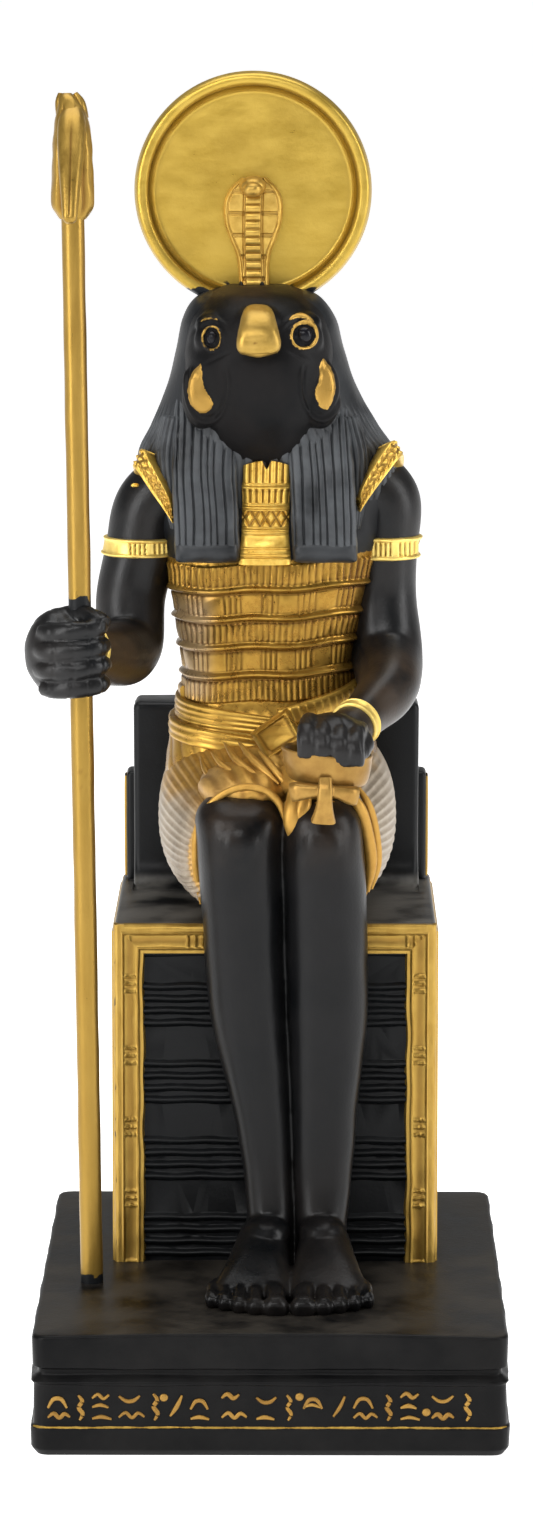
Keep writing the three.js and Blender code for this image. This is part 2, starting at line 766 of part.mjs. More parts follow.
function makeDisc() {
  const middle = onBody(-0.2, -1.6, 100);
  middle[2] += DISC_RADIUS - DISC_SINK;
  const half = DISC_THICKNESS / 2;
  const field = DISC_RADIUS - DISC_RIM;
  const profile = [
    [0, -half * 0.8],
    [field, -half * 0.5],
    [field + DISC_RIM * 0.25, -half],
    [DISC_RADIUS - DISC_RIM * 0.25, -half],
    [DISC_RADIUS, 0],
    [DISC_RADIUS - DISC_RIM * 0.25, half],
    [field + DISC_RIM * 0.25, half],
    [field, half * 0.5],
    [0, half * 0.8],
  ].map(([r, y]) => new THREE.Vector2(r, y));
  return solid(new THREE.LatheGeometry(profile, 26).translate(...middle));
}

function makeCobra() {
  const rows = [
    [-0.6, -5.0, 99.0, 3.0, 1.8],
    [-0.6, -4.6, 103.0, 3.2, 1.6],
    [-0.6, -4.4, 107.0, 4.6, 1.5],
    [-0.6, -4.6, 111.4, 4.8, 1.5],
    [-0.6, -5.0, 115.0, 3.0, 1.5],
    [-0.6, -5.4, 116.6, 1.6, 1.3],
  ];
  const solids = [limb(bodyStations(rows), { rings: 7, sides: 8, along: [0, 0, 1] })];
  solids.push(knob(onBody(-0.6, -7.0, 116.0), [2.4 * h, 3.4 * h, 1.8 * h], 6, 4));
  for (let i = 0; i < 5; i++) {
    const z = 100.4 + i * 2.8;
    solids.push(knob(onBody(-0.6, -5.9, z), [1.7 * h, 0.9 * h, 1.1 * h], 4, 4));
  }
  return joined(solids);
}

// The sceptre: a round staff with a forward-bent animal head and a plain foot

function staffAxis() {
  const grip = new THREE.Vector3(...onBody(...GRIP));
  const foot = new THREE.Vector3(-PLINTH_WIDTH / 2 + STAFF_INSET, grip.y, plinthTop);
  const up = grip.sub(foot).normalize();
  foot.addScaledVector(up, STAFF_CLEARANCE - SOCKET_DEPTH);
  return { foot, up };
}

function alongStaff(distance) {
  const { foot, up } = staffAxis();
  return foot.addScaledVector(up, distance).toArray();
}

function makeStaff() {
  const stem = bar(alongStaff(0), alongStaff(STAFF_LENGTH - STAFF_HEAD_HEIGHT * 0.5), STAFF_RADIUS, 12);
  const [x, y, z] = alongStaff(STAFF_LENGTH - STAFF_HEAD_HEIGHT);
  const up = (share) => z + STAFF_HEAD_HEIGHT * share;
  const out = (share) => y - STAFF_HEAD_REACH * share;
  const crown = [
    [x, out(-0.06), up(0.0), 3.0, 2.8],
    [x, out(-0.02), up(0.12), 4.5, 3.6],
    [x, out(0.02), up(0.4), 4.2, 4.2],
    [x, out(0.02), up(0.66), 3.8, 4.2],
    [x - 0.3, out(-0.06), up(0.88), 2.8, 3.2],
    [x - 1.2, out(-0.14), up(1.0), 1.2, 1.4],
  ];
  const muzzle = [
    [x, out(-0.1), up(0.72), 3.2, 2.6],
    [x, out(0.3), up(0.6), 2.9, 2.4],
    [x, out(0.72), up(0.32), 2.3, 1.9],
    [x, out(1.0), up(0.02), 1.6, 1.3],
  ];
  return joined([
    stem,
    limb(crown, { rings: 6, sides: 8, along: [0, 0, 1] }),
    limb(muzzle, { rings: 5, sides: 8, power: 2.4 }),
  ]);
}

function socketCut() {
  const reach = SOCKET_DEPTH + STAFF_LENGTH;
  return bar(alongStaff(-STAFF_CLEARANCE), alongStaff(reach), STAFF_RADIUS + STAFF_CLEARANCE, 12);
}

// The whole casting, and the sceptre beside it

function makeFigure() {
  const parts = [
    makePlinth(),
    makeThrone(),
    makeKilt(),
    ...LEGS.map(makeShin),
    ...LEGS.map(makeFoot),
    makeTorso(),
    makeBelt(),
    makeArm(RIGHT_ARM),
    makeArm(LEFT_ARM),
    makeRightFist(),
    makeLeftFist(),
    makeLoopedCross(),
    makeWig(),
    makeLappet(-1),
    makeLappet(1),
    makeFace(),
    makeBeak(),
    makePectoral(),
    makeCollar(-1),
    makeCollar(1),
    makeDisc(),
    makeCobra(),
  ];
  return joined(parts).subtract(socketCut());
}

function namedMesh(name, manifold, material) {
  const mesh = new THREE.Mesh(geometryOf(manifold), material);
  mesh.name = name;
  return mesh;
}

const figurine = new THREE.Group();
figurine.add(namedMesh("seated_falcon_figure", makeFigure(), resinBlack));
figurine.add(namedMesh("was_sceptre", makeStaff(), giltPaint));

export default figurine;
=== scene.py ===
import bpy
import numpy as np
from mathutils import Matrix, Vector


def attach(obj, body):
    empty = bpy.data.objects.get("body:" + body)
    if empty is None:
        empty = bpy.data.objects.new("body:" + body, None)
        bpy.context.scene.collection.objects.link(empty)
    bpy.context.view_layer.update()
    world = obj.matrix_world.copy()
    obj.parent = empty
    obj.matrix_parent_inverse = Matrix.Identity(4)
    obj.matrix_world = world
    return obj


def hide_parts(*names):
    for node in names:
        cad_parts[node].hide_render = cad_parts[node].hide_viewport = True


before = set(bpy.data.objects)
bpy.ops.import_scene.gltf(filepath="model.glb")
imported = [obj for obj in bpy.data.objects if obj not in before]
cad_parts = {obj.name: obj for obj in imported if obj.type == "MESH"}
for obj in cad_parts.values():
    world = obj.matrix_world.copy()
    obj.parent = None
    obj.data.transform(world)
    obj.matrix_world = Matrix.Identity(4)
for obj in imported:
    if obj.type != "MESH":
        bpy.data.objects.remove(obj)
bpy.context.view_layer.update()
MM = 0.001

# The plinth
# The foot of the casting: a block with a groove under its upper slab and a sunk band on the lower block.
# It is solid black resin with a satin coat; its top is painted lighter and a little brown, as a painted sheen.

PLINTH_WIDTH = 97.4
PLINTH_DEPTH = 128.0
PLINTH_CORNER = 3.4
PLINTH_HEIGHT = 25.0
BLACK = (0.0032, 0.0036, 0.0042)
BLACK_PALE = (0.0085, 0.0095, 0.0112)
BROWN = (0.027, 0.0165, 0.009)
GOLD = (0.57, 0.335, 0.05)
GOLD_PALE = (0.78, 0.53, 0.12)
GOLD_DEEP = (0.10, 0.038, 0.006)
CREAM = (0.40, 0.325, 0.235)
CREAM_PALE = (0.36, 0.305, 0.235)


def smooth_rows(stations, count):
    """Rows through the stations on a Catmull-Rom curve: between two stations b and c, with a before
    and d after, b + t/2 (c - a + t (2a - 5b + 4c - d + t (3b - a - 3c + d)))."""
    known = np.asarray(stations, float)
    place = np.linspace(0, len(known) - 1, count)
    first = np.minimum(place.astype(int), len(known) - 2)
    t = (place - first)[:, None]
    a, b, c, d = (known[np.clip(first + k, 0, len(known) - 1)] for k in (-1, 0, 1, 2))
    return b + 0.5 * t * (c - a + t * (2 * a - 5 * b + 4 * c - d + t * (3 * b - a - 3 * c + d)))


def step(value, low, high):
    """0 below low and 1 above high, with the smooth curve 3t^2 - 2t^3 between them."""
    t = np.clip((np.asarray(value, float) - low) / (high - low), 0, 1)
    return t * t * (3 - 2 * t)


def hump(value, middle, half):
    """A rounded ridge one high: (1 - t^2)^2 of the distance t from its middle, in half widths."""
    t = np.clip(np.abs(np.asarray(value, float) - middle) / half, 0, 1)
    return (1 - t * t) ** 2


def oval(sides, power):
    """Points round |x|^p + |y|^p = 1, evenly spaced along it, counterclockwise."""
    turn = np.linspace(0, 2 * np.pi, 4001)
    c, s = np.cos(turn), np.sin(turn)
    x = np.sign(c) * np.abs(c) ** (2 / power)
    y = np.sign(s) * np.abs(s) ** (2 / power)
    run = np.concatenate([[0], np.cumsum(np.hypot(np.diff(x), np.diff(y)))])
    even = np.linspace(0, run[-1], sides, endpoint=False)
    return np.interp(even, run, x), np.interp(even, run, y)


def loft(stations, rings, sides, power=2.0, along=None, across=(1, 0, 0)):
    """A skin of ovals carried along a path: each station is a middle and two half sizes, the first across and
    the second square to it and to the path."""
    rows = smooth_rows(stations, rings)
    middle = rows[:, :3]
    t = np.gradient(middle, axis=0) if along is None else np.tile(np.array(along, float), (rings, 1))
    t /= np.linalg.norm(t, axis=1, keepdims=True)
    u = np.array(across, float) - t * (t @ np.array(across, float))[:, None]
    u /= np.linalg.norm(u, axis=1, keepdims=True)
    v = np.cross(t, u)
    x, y = oval(sides, power)
    wide = (rows[:, 3:4] * x)[..., None] * u[:, None]
    deep = (rows[:, 4:5] * y)[..., None] * v[:, None]
    return middle[:, None] + wide + deep


def lifted(grid, height):
    """A closed skin moved outward, along the cross product of the steps round it and along it."""
    out = np.cross(np.roll(grid, -1, 1) - np.roll(grid, 1, 1), np.gradient(grid, axis=0))
    out /= np.maximum(np.linalg.norm(out, axis=2, keepdims=True), 1e-9)
    return grid + out * np.broadcast_to(height, grid.shape[:2])[..., None]


def ripple(points, size, seed=0.0):
    """Soft hand-made unevenness between -1 and 1: three crossed sine waves of the place over a size."""
    x, y, z = (points[..., k] / size for k in range(3))
    wave = np.sin(1.7 * x + 2.3 * y - 1.1 * z + seed) + np.sin(2.9 * z - 1.3 * x + 1.9 * seed)
    return (wave + np.sin(3.1 * y + 2.1 * z + 1.7 * x + 2.7 * seed)) / 3


def spread(layers, shape):
    return {key: np.broadcast_to(value, shape).astype(float).ravel() for key, value in layers.items()}


def tube(grid, ends=True, **layers):
    """A closed skin over rows of points: quads between the rows, and one face or a fan over each end."""
    rings, sides = grid.shape[:2]
    i, j = np.meshgrid(np.arange(rings - 1), np.arange(sides), indexing="ij")
    a = (i * sides + j).ravel()
    b = (i * sides + (j + 1) % sides).ravel()
    faces = np.stack([a, b, b + sides, a + sides], 1).tolist()
    points = grid.reshape(-1, 3)
    values = spread(layers, (rings, sides))
    last = (rings - 1) * sides
    if ends == "flat":
        faces.append(list(range(sides))[::-1])
        faces.append(list(range(last, last + sides)))
        return points, faces, values
    k = np.arange(sides)
    hub = rings * sides
    nxt = (k + 1) % sides
    faces += np.stack([np.full(sides, hub), nxt, k], 1).tolist()
    faces += np.stack([np.full(sides, hub + 1), last + k, last + nxt], 1).tolist()
    points = np.concatenate([points, [grid[0].mean(0), grid[-1].mean(0)]])
    for key, value in values.items():
        values[key] = np.concatenate([value, [value[:sides].mean(), value[-sides:].mean()]])
    return points, faces, values


def slab(front, back, **layers):
    """A closed plate: a front sheet of rows of points, a back sheet of as many, and their edges joined."""
    m, n = front.shape[:2]
    i, j = np.meshgrid(np.arange(m - 1), np.arange(n - 1), indexing="ij")
    a = (i * n + j).ravel()
    quads = np.stack([a, a + 1, a + n + 1, a + n], 1)
    edge = np.concatenate([np.arange(n - 1), np.arange(1, m) * n - 1, m * n - 1 - np.arange(n - 1),
                           (m - 1 - np.arange(m - 1)) * n])
    after = np.roll(edge, -1)
    under = m * n
    rim = np.stack([edge, edge + under, after + under, after], 1)
    faces = quads.tolist() + (quads[:, ::-1] + under).tolist() + rim.tolist()
    values = {key: np.concatenate([value, value]) for key, value in spread(layers, (m, n)).items()}
    return np.concatenate([front.reshape(-1, 3), back.reshape(-1, 3)]), faces, values


def turned_slab(front, back, **layers):
    """A plate with its rows and columns swapped, which turns its faces the other way."""
    turned = {key: np.transpose(value) for key, value in layers.items()}
    return slab(front.transpose(1, 0, 2), back.transpose(1, 0, 2), **turned)


LAYERS = ("gilt", "hollow", "warm", "pearl")


def paint(piece, **layers):
    """Stores paint layers at a piece's points: gilt, painted shade and tone, tint and painted sheen, paleness.
    """
    for key in LAYERS:
        value = layers.get(key, 0.0)
        known = piece.data.attributes.get(key) or piece.data.attributes.new(key, "FLOAT", "POINT")
        full = np.broadcast_to(np.asarray(value, np.float32), (len(piece.data.vertices),))
        known.data.foreach_set("value", np.ascontiguousarray(full))


def settle(piece, finish, node="seated_falcon_figure"):
    """Gives a piece its finish, the solid it stands for and the body it rides on."""
    piece.data.materials.clear()
    piece.data.materials.append(finish)
    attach(piece, "root")
    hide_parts(node)
    return piece


def shade(piece, crease):
    piece.data.shade_smooth()
    if crease:
        piece.data.set_sharp_from_angle(angle=np.radians(crease))


def thinned(piece, most, crease=0):
    """Takes points out of a piece, first where it is flattest, down to the most triangles it may have."""
    count = len(piece.data.loops) - 2 * len(piece.data.polygons)
    if count > most:
        fewer = piece.modifiers.new("fewer", "DECIMATE")
        fewer.ratio = most / count
        kept = bpy.data.meshes.new_from_object(piece.evaluated_get(bpy.context.evaluated_depsgraph_get()))
        piece.modifiers.clear()
        piece.data = kept
        shade(piece, crease)


def make_piece(name, parts, crease=40, most=200000):
    """One object from closed parts in millimetres, shaded smooth up to a crease angle."""
    points = np.concatenate([part[0] for part in parts]) * MM
    starts = np.cumsum([0] + [len(part[0]) for part in parts[:-1]])
    faces = [[corner + start for corner in face] for part, start in zip(parts, starts) for face in part[1]]
    mesh = bpy.data.meshes.new(name)
    mesh.from_pydata(points.tolist(), [], faces)
    piece = bpy.data.objects.new(name, mesh)
    bpy.context.scene.collection.objects.link(piece)
    shade(piece, crease)
    layers = {}
    for key in LAYERS:
        layers[key] = np.concatenate([part[2].get(key, np.zeros(len(part[0]))) for part in parts])
    paint(piece, **layers)
    thinned(piece, most, crease)
    return piece


def gild(piece, name, node="seated_falcon_figure", **looks):
    """Gives a piece a brushed gold finish of its own and the solid it stands for."""
    return settle(piece, painted_resin(name, **looks), node)


def add_node(tree, kind, inputs=None, **settings):
    """A shader node with its settings; an input is a plain value or the socket that feeds it."""
    made = tree.nodes.new(kind)
    for key, value in settings.items():
        setattr(made, key, value)
    for key, value in (inputs or {}).items():
        if isinstance(value, bpy.types.NodeSocket):
            tree.links.new(value, made.inputs[key])
        else:
            made.inputs[key].default_value = value
    return made


def mix(tree, share, a, b):
    """The colour that lies the given share of the way from a to b."""
    full = [value if isinstance(value, bpy.types.NodeSocket) else (*value, 1) for value in (a, b)]
    made = add_node(tree, "ShaderNodeMix", {0: share, 6: full[0], 7: full[1]}, data_type="RGBA")
    return made.outputs[2]


def between(tree, value, low, high, to_low=0.0, to_high=1.0):
    """The value taken from one range to another and held inside it."""
    made = add_node(tree, "ShaderNodeMapRange", {0: value, 1: low, 2: high, 3: to_low, 4: to_high})
    return made.outputs[0]


def reckon(tree, operation, a, b):
    return add_node(tree, "ShaderNodeMath", {0: a, 1: b}, operation=operation).outputs[0]


def painted_resin(name, black=BLACK, pale=BLACK_PALE, gold=GOLD, bright=GOLD_PALE, deep=GOLD_DEEP,
                  cream=CREAM, tint_and_sheen_colour=BROWN, brush=(1, 1, 1), satin=0.4, metal=0.72, gloss=0.3, wear=0.0,
                  grain=0.35, shine=0.16):
    """Black cast resin under brushed paint. Noise on the object's place mottles the black, streaks the gold
    along the brush and frays the paint's edges. One layer draws the paint towards the deep colour: painted
    shade in recesses, and darker tone. Another tints the black: a real tint, and on some pieces a painted
    sheen."""
    finish = bpy.data.materials.new(name)
    finish.use_nodes = True
    tree = finish.node_tree
    shader = tree.nodes["Principled BSDF"]
    place = add_node(tree, "ShaderNodeTexCoord").outputs["Object"]
    drawn = add_node(tree, "ShaderNodeMapping", {0: place, 3: brush}).outputs[0]
    broad = add_node(tree, "ShaderNodeTexNoise", {0: place, 2: 70.0, 3: 4.0, 4: 0.6}).outputs[0]
    fine = add_node(tree, "ShaderNodeTexNoise", {0: place, 2: 1500.0, 3: 3.0, 4: 0.6}).outputs[0]
    streak = add_node(tree, "ShaderNodeTexNoise", {0: drawn, 2: 420.0, 3: 5.0, 4: 0.62}).outputs[0]
    layer = {}
    for key in LAYERS:
        layer[key] = add_node(tree, "ShaderNodeAttribute", attribute_name=key).outputs["Fac"]
    frayed = reckon(tree, "ADD", layer["gilt"], between(tree, streak, 0.3, 0.7, -0.22, 0.22))
    if wear:
        rubbed = between(tree, reckon(tree, "MULTIPLY", broad, streak), 0.36, 0.44, 0.0, wear)
        frayed = reckon(tree, "SUBTRACT", frayed, rubbed)
    gilt = between(tree, frayed, 0.42, 0.58)
    # The shade layer, varied along the brush streaks: painted shade in recesses, and darker tone elsewhere.
    streak_tone = between(tree, streak, 0.3, 0.75, -0.16, 0.06)
    hollow = between(tree, reckon(tree, "ADD", layer["hollow"], streak_tone), 0, 1)
    dark = mix(tree, between(tree, broad, 0.35, 0.7), black, pale)
    # The tint layer: a brown tint on some pieces, and a pale painted sheen and highlight on others.
    warm = reckon(tree, "MULTIPLY", layer["warm"], between(tree, broad, 0.34, 0.6))
    dark = mix(tree, warm, dark, tint_and_sheen_colour)
    metal_paint = mix(tree, between(tree, streak, 0.32, 0.7), gold, bright)
    metal_paint = mix(tree, between(tree, broad, 0.42, 0.75, 0.0, 0.14), metal_paint, deep)
    cream_paint = mix(tree, between(tree, streak, 0.3, 0.7), cream, CREAM_PALE)
    paint_colour = mix(tree, layer["pearl"], metal_paint, cream_paint)
    # Painted shade: the paint is drawn towards the deep colour where the shade layer is high.
    paint_colour = mix(tree, hollow, paint_colour, deep)
    tree.links.new(mix(tree, gilt, dark, paint_colour), shader.inputs["Base Color"])
    metallic = reckon(tree, "MULTIPLY", gilt, between(tree, layer["pearl"], 0, 1, metal, 0.12))
    tree.links.new(metallic, shader.inputs["Metallic"])
    rough = between(tree, broad, 0.3, 0.7, satin - 0.05, satin + 0.09)
    rough = reckon(tree, "ADD", rough, between(tree, hollow, 0, 1, 0, 0.12))
    golden = between(tree, streak, 0.3, 0.7, gloss - 0.04, gloss + 0.12)
    rough_mix = add_node(tree, "ShaderNodeMix", {0: gilt, 2: rough, 3: golden}, data_type="FLOAT").outputs[0]
    tree.links.new(rough_mix, shader.inputs["Roughness"])
    height = reckon(tree, "ADD", fine, reckon(tree, "MULTIPLY", streak, 0.8))
    bump = add_node(tree, "ShaderNodeBump", {"Height": height, "Strength": grain, "Distance": 0.00012})
    tree.links.new(bump.outputs[0], shader.inputs["Normal"])
    shader.inputs["Specular IOR Level"].default_value = shine
    return finish


def rounded_box(half_x, half_y, corner, count):
    """A counterclockwise outline with quarter-circle corners, evenly spaced along its length, and its
    outward directions."""
    turn = np.linspace(0, np.pi / 2, 9)
    signs = ((1, 1), (-1, 1), (-1, -1), (1, -1))
    arcs = []
    for k, (sx, sy) in enumerate(signs):
        angle = turn + k * np.pi / 2
        arcs.append(np.stack([sx * (half_x - corner) + corner * np.cos(angle),
                              sy * (half_y - corner) + corner * np.sin(angle)], 1))
    path = np.concatenate(arcs + [arcs[0][:1]])
    run = np.concatenate([[0], np.cumsum(np.linalg.norm(np.diff(path, axis=0), axis=1))])
    even = np.linspace(0, run[-1], count, endpoint=False)
    outline = np.stack([np.interp(even, run, path[:, k]) for k in (0, 1)], 1)
    ahead = np.roll(outline, -1, 0) - np.roll(outline, 1, 0)
    out = np.stack([ahead[:, 1], -ahead[:, 0]], 1)
    return outline, out / np.linalg.norm(out, axis=1, keepdims=True)


def soft_corners(path, radius, steps=5):
    """A path with each inner corner replaced by the curve (1-t)^2 a + 2t(1-t) corner + t^2 b between points
    a radius before and after it."""
    path = np.asarray(path, float)
    back = path[:-2] - path[1:-1]
    ahead = path[2:] - path[1:-1]
    cut_back = np.minimum(radius, np.linalg.norm(back, axis=1, keepdims=True) * 0.45)
    cut_ahead = np.minimum(radius, np.linalg.norm(ahead, axis=1, keepdims=True) * 0.45)
    a = path[1:-1] + back / np.linalg.norm(back, axis=1, keepdims=True) * cut_back
    b = path[1:-1] + ahead / np.linalg.norm(ahead, axis=1, keepdims=True) * cut_ahead
    t = np.linspace(0, 1, steps)[None, :, None]
    curve = (1 - t) ** 2 * a[:, None] + 2 * t * (1 - t) * path[1:-1][:, None] + t * t * b[:, None]
    return np.concatenate([path[:1], curve.reshape(-1, path.shape[1]), path[-1:]])


plinth_levels = soft_corners([[0, 6.0], [0, 1.4], [1.5, 0.1], [5.5, 0.0], [5.9, 0.0], [6.3, 0.45],
                              [6.7, 0.5], [14.8, 0.5], [15.1, 0.0], [15.6, 0.0], [17.0, 1.5], [18.0, 1.6],
                              [18.3, 0.45], [24.6, 0.4], [25.0, 1.0], [25.0, 8.0],], 0.35)
outline, outline_out = rounded_box(PLINTH_WIDTH / 2, PLINTH_DEPTH / 2, PLINTH_CORNER, 260)
plinth_rings = []
for level, inset in plinth_levels:
    shrink = 1 - max(0.0, inset - 2.4) / 48
    flat = outline * shrink - outline_out * min(inset, 2.4)
    plinth_rings.append(np.column_stack([flat, np.full(len(flat), level)]))
plinth_grid = np.array(plinth_rings)
side_share = step(plinth_grid[..., 2], 1, 4) * step(-plinth_grid[..., 2], -24.9, -24)
wobble = ripple(plinth_grid, 9.0) * 0.22 + ripple(plinth_grid, 3.1, 2.0) * 0.07
plinth_grid = lifted(plinth_grid, wobble * side_share)
top_share = step(plinth_grid[..., 2], 24.8, 25)
front_bow = (1 - (plinth_grid[..., 0] / 48.7) ** 2) * step(-plinth_grid[..., 1], 20, 60)
plinth_grid[..., 2] += 0.8 * front_bow * step(plinth_grid[..., 2], 22, 24.9)
bulge = hump(plinth_grid[..., 1], -8, 75) * step(plinth_grid[..., 2], 17, 19)
bulge *= step(-plinth_grid[..., 2], -24.9, -22)
plinth_grid[..., 0] *= 1 + 0.006 * bulge
line = hump(plinth_grid[..., 2], 6.15, 0.35) * step(-plinth_grid[..., 1], 61, 63)
line *= step(ripple(plinth_grid, 1.3, 5.0), -1.0, -0.8)
# Painted sheen: the top face takes much more of the tint, a light brown-grey standing for its satin sheen.
plinth = make_piece("plinth", [tube(plinth_grid, ends="flat", gilt=line * 0.75,
                                    warm=0.04 + 0.5 * top_share,
                                    hollow=0.5)], 38)
settle(plinth, painted_resin("plinth_resin", satin=0.33, black=(0.002, 0.002, 0.0022),
                             pale=(0.0045, 0.0045, 0.0048), tint_and_sheen_colour=(0.05, 0.043, 0.034), shine=0.085))

# The row of strokes
# Shallow strokes cast in the sunk band of the plinth's front and touched with dull gold; they are plain
# marks and spell nothing.

STROKE_GOLD = (0.30, 0.165, 0.032)
rng = np.random.default_rng(23)
stroke_parts = []
SHAPES = (
    ((0, 0.6), (1.4, 1.6), (2.7, 0.5), (4.0, 1.5), (5.3, 0.7)),
    ((0, 2.7), (1.2, 4.6), (2.9, 4.6), (4.1, 2.7)),
    ((0, 6.0), (0.9, 4.6), (0.1, 3.0), (1.0, 1.5), (0.3, 0)),
    ((0, 0.9), (1.5, 3.1), (2.6, 5.6)),
    ((0, 5.4), (1.6, 4.3), (3.2, 4.4), (4.6, 5.5)),
    ((0, 3.1), (1.9, 3.6), (3.8, 3.0)),
    ((0, 5.2), (1.3, 6.1), (2.6, 5.1), (3.9, 6.0)),
    ((0, 0.3), (2.0, 0.7), (4.2, 0.2)),
)
GROUPS = ((1, 0), (2,), (6, 5, 7), (4, 0), (2, ), (3, ), (1, 7), (6, 0), (4, 7), (2,), (1, 5), (3,))
place_x = -45.0
turn_of = 0
while place_x < 42.0:
    wide = 0.0
    for shape in GROUPS[turn_of % len(GROUPS)]:
        curve = np.array(SHAPES[shape], float)
        size = 0.82 + 0.16 * rng.random()
        rows = np.column_stack([place_x + curve[:, 0] * size, np.full(len(curve), -63.6),
                                7.7 + curve[:, 1] * size, np.full(len(curve), 0.36 + 0.12 * rng.random()),
                                np.full(len(curve), 0.3)])
        rows[0, 3] = rows[-1, 3] = 0.24
        stroke_parts.append(tube(loft(rows, 26, 10, across=(0.37, 0, 0.93)), gilt=1.0, hollow=0.1 + 0.4
                                 * rng.random()))
        wide = max(wide, curve[:, 0].max() * size)
    place_x += wide + 1.5 + 1.1 * rng.random()
    turn_of += 1
for dot_x, dot_z in ((-21.5, 12.4), (6.0, 12.6), (31.7, 9.4)):
    rows = [[dot_x, -63.0, dot_z, 0.85, 0.8], [dot_x, -63.7, dot_z, 0.85, 0.8],
            [dot_x, -63.95, dot_z, 0.5, 0.45]]
    stroke_parts.append(tube(loft(rows, 9, 20, along=(0, -1, 0)), gilt=1.0, hollow=0.2))
strokes = make_piece("plinth_strokes", stroke_parts)
gild(strokes, "stroke_gold", gold=STROKE_GOLD, bright=(0.34, 0.2, 0.05), wear=0.7, gloss=0.42, metal=0.5)

# The throne
# A cubic seat with a low backrest and two lower wings, cast with the plinth. Its front and sides are sunk
# panels with grouped ribs, inside a raised border; the black parts are bare resin, and the seat top carries a
# painted sheen.

THRONE_FRONT, THRONE_BACK, SEAT_TOP = -2.0, 60.0, 98.4
THRONE_MIDDLE, THRONE_HALF = 0.7, 34.2
REST_FRONT, REST_TOP = 46.0, 138.6
BORDER_WIDE = 6.6
BORDER_RISE = 1.25
PANEL_TOP = SEAT_TOP - BORDER_WIDE


def prism(profile, x0, x1, radius):
    """A side outline in Y and Z carried along X, with its two end edges rounded: the outline is drawn in by
    r (1 - cos t) while X moves by r (1 - sin t)."""
    profile = np.asarray(profile, float)
    ahead = np.roll(profile, -1, 0) - profile
    ahead /= np.linalg.norm(ahead, axis=1, keepdims=True)
    out = np.stack([ahead[:, 1], -ahead[:, 0]], 1)
    out = out + np.roll(out, 1, 0)
    out /= np.maximum(np.sum(out * out, axis=1, keepdims=True) / 2, 0.4)
    t = np.linspace(0, np.pi / 2, 6)
    near = [(x0 + radius * (1 - np.cos(a)), radius * (1 - np.sin(a))) for a in t]
    body = [(x, 0.0) for x in np.linspace(x0 + radius, x1 - radius, 14)[1:-1]]
    rows = near + body + [(x0 + x1 - x, inset) for x, inset in near[::-1]]
    return np.array([np.column_stack([np.full(len(profile), x), profile - out * inset]) for x,
                     inset in rows])


def smooth_outline(corners, radius, sides=6):
    """A closed outline with its corners softened."""
    corners = np.asarray(corners, float)
    middle = (corners[-1] + corners[0]) / 2
    return soft_corners(np.vstack([middle, corners, middle]), radius, sides)[:-1]


core = smooth_outline([[THRONE_FRONT + 1.3, 24.6], [THRONE_BACK, 24.6], [THRONE_BACK, SEAT_TOP - 1],
                       [THRONE_FRONT + 1.3, SEAT_TOP - 1]], 0.9)
seat = smooth_outline([[THRONE_FRONT + 0.9, 91.0], [THRONE_BACK, 91.0], [THRONE_BACK, SEAT_TOP],
                       [THRONE_BACK - 10, SEAT_TOP], [THRONE_FRONT + 0.9, SEAT_TOP]], 1.1)
rest = smooth_outline([[REST_FRONT - 9.5, SEAT_TOP - 1], [THRONE_BACK, SEAT_TOP - 1],
                       [THRONE_BACK, REST_TOP], [REST_FRONT, REST_TOP], [REST_FRONT, SEAT_TOP + 8],
                       [REST_FRONT - 0.6, SEAT_TOP + 4.2], [REST_FRONT - 2.2, SEAT_TOP + 1.8],
                       [REST_FRONT - 4.6, SEAT_TOP + 0.4], [REST_FRONT - 9.5, SEAT_TOP + 0.05]], 1.7)
wings = smooth_outline([[THRONE_BACK - 8, SEAT_TOP - 1], [THRONE_BACK, SEAT_TOP - 1],
                        [THRONE_BACK, SEAT_TOP + 24], [THRONE_BACK - 8, SEAT_TOP + 24]], 1.2)
throne_parts = []
for profile, half, radius in ((core, THRONE_HALF - 1.2, 0.6), (seat, THRONE_HALF - 0.2, 0.8),
                              (rest, THRONE_HALF - 3, 1.4), (wings, THRONE_HALF - 1.2, 1.0)):
    grid = prism(profile, THRONE_MIDDLE - half, THRONE_MIDDLE + half, radius)
    inner = lifted(grid, ripple(grid, 8.0, 1.0) * 0.15)
    # Painted sheen: the seat top in front of the backrest takes the tint, a pale grey.
    top = step(grid[..., 2], SEAT_TOP - 0.5, SEAT_TOP) * step(-grid[..., 2], -SEAT_TOP - 3, -SEAT_TOP - 1)
    top *= grid[..., 1] < THRONE_BACK - 8
    throne_parts.append(tube(inner, ends="flat", warm=0.5 * top))


def ribbed_panel(wide, low, high):
    """Heights of a panel's ribs on a grid of places across and up: four groups of four rounded ribs, in each
    group the ribs 2.6 apart, each a little uneven along its length."""
    across = np.linspace(0, wide, 64)[:, None]
    up = np.linspace(low, high, 330)[None, :]
    pitch = (SEAT_TOP - PLINTH_HEIGHT - BORDER_WIDE) / 4
    inside = np.mod(up - PLINTH_HEIGHT, pitch)
    height = np.zeros((64, 330))
    for rib in range(4):
        uneven = np.sin(across * 0.55 + rib * 1.9 + np.floor((up - PLINTH_HEIGHT) / pitch))
        centre = 2.6 * (rib + 0.5) + 0.55 + 0.09 * uneven
        height = np.maximum(height, hump(inside, centre, 0.95) ** 0.7)
    shape = np.broadcast_to(across, height.shape), np.broadcast_to(up, height.shape)
    return shape[0], shape[1], height


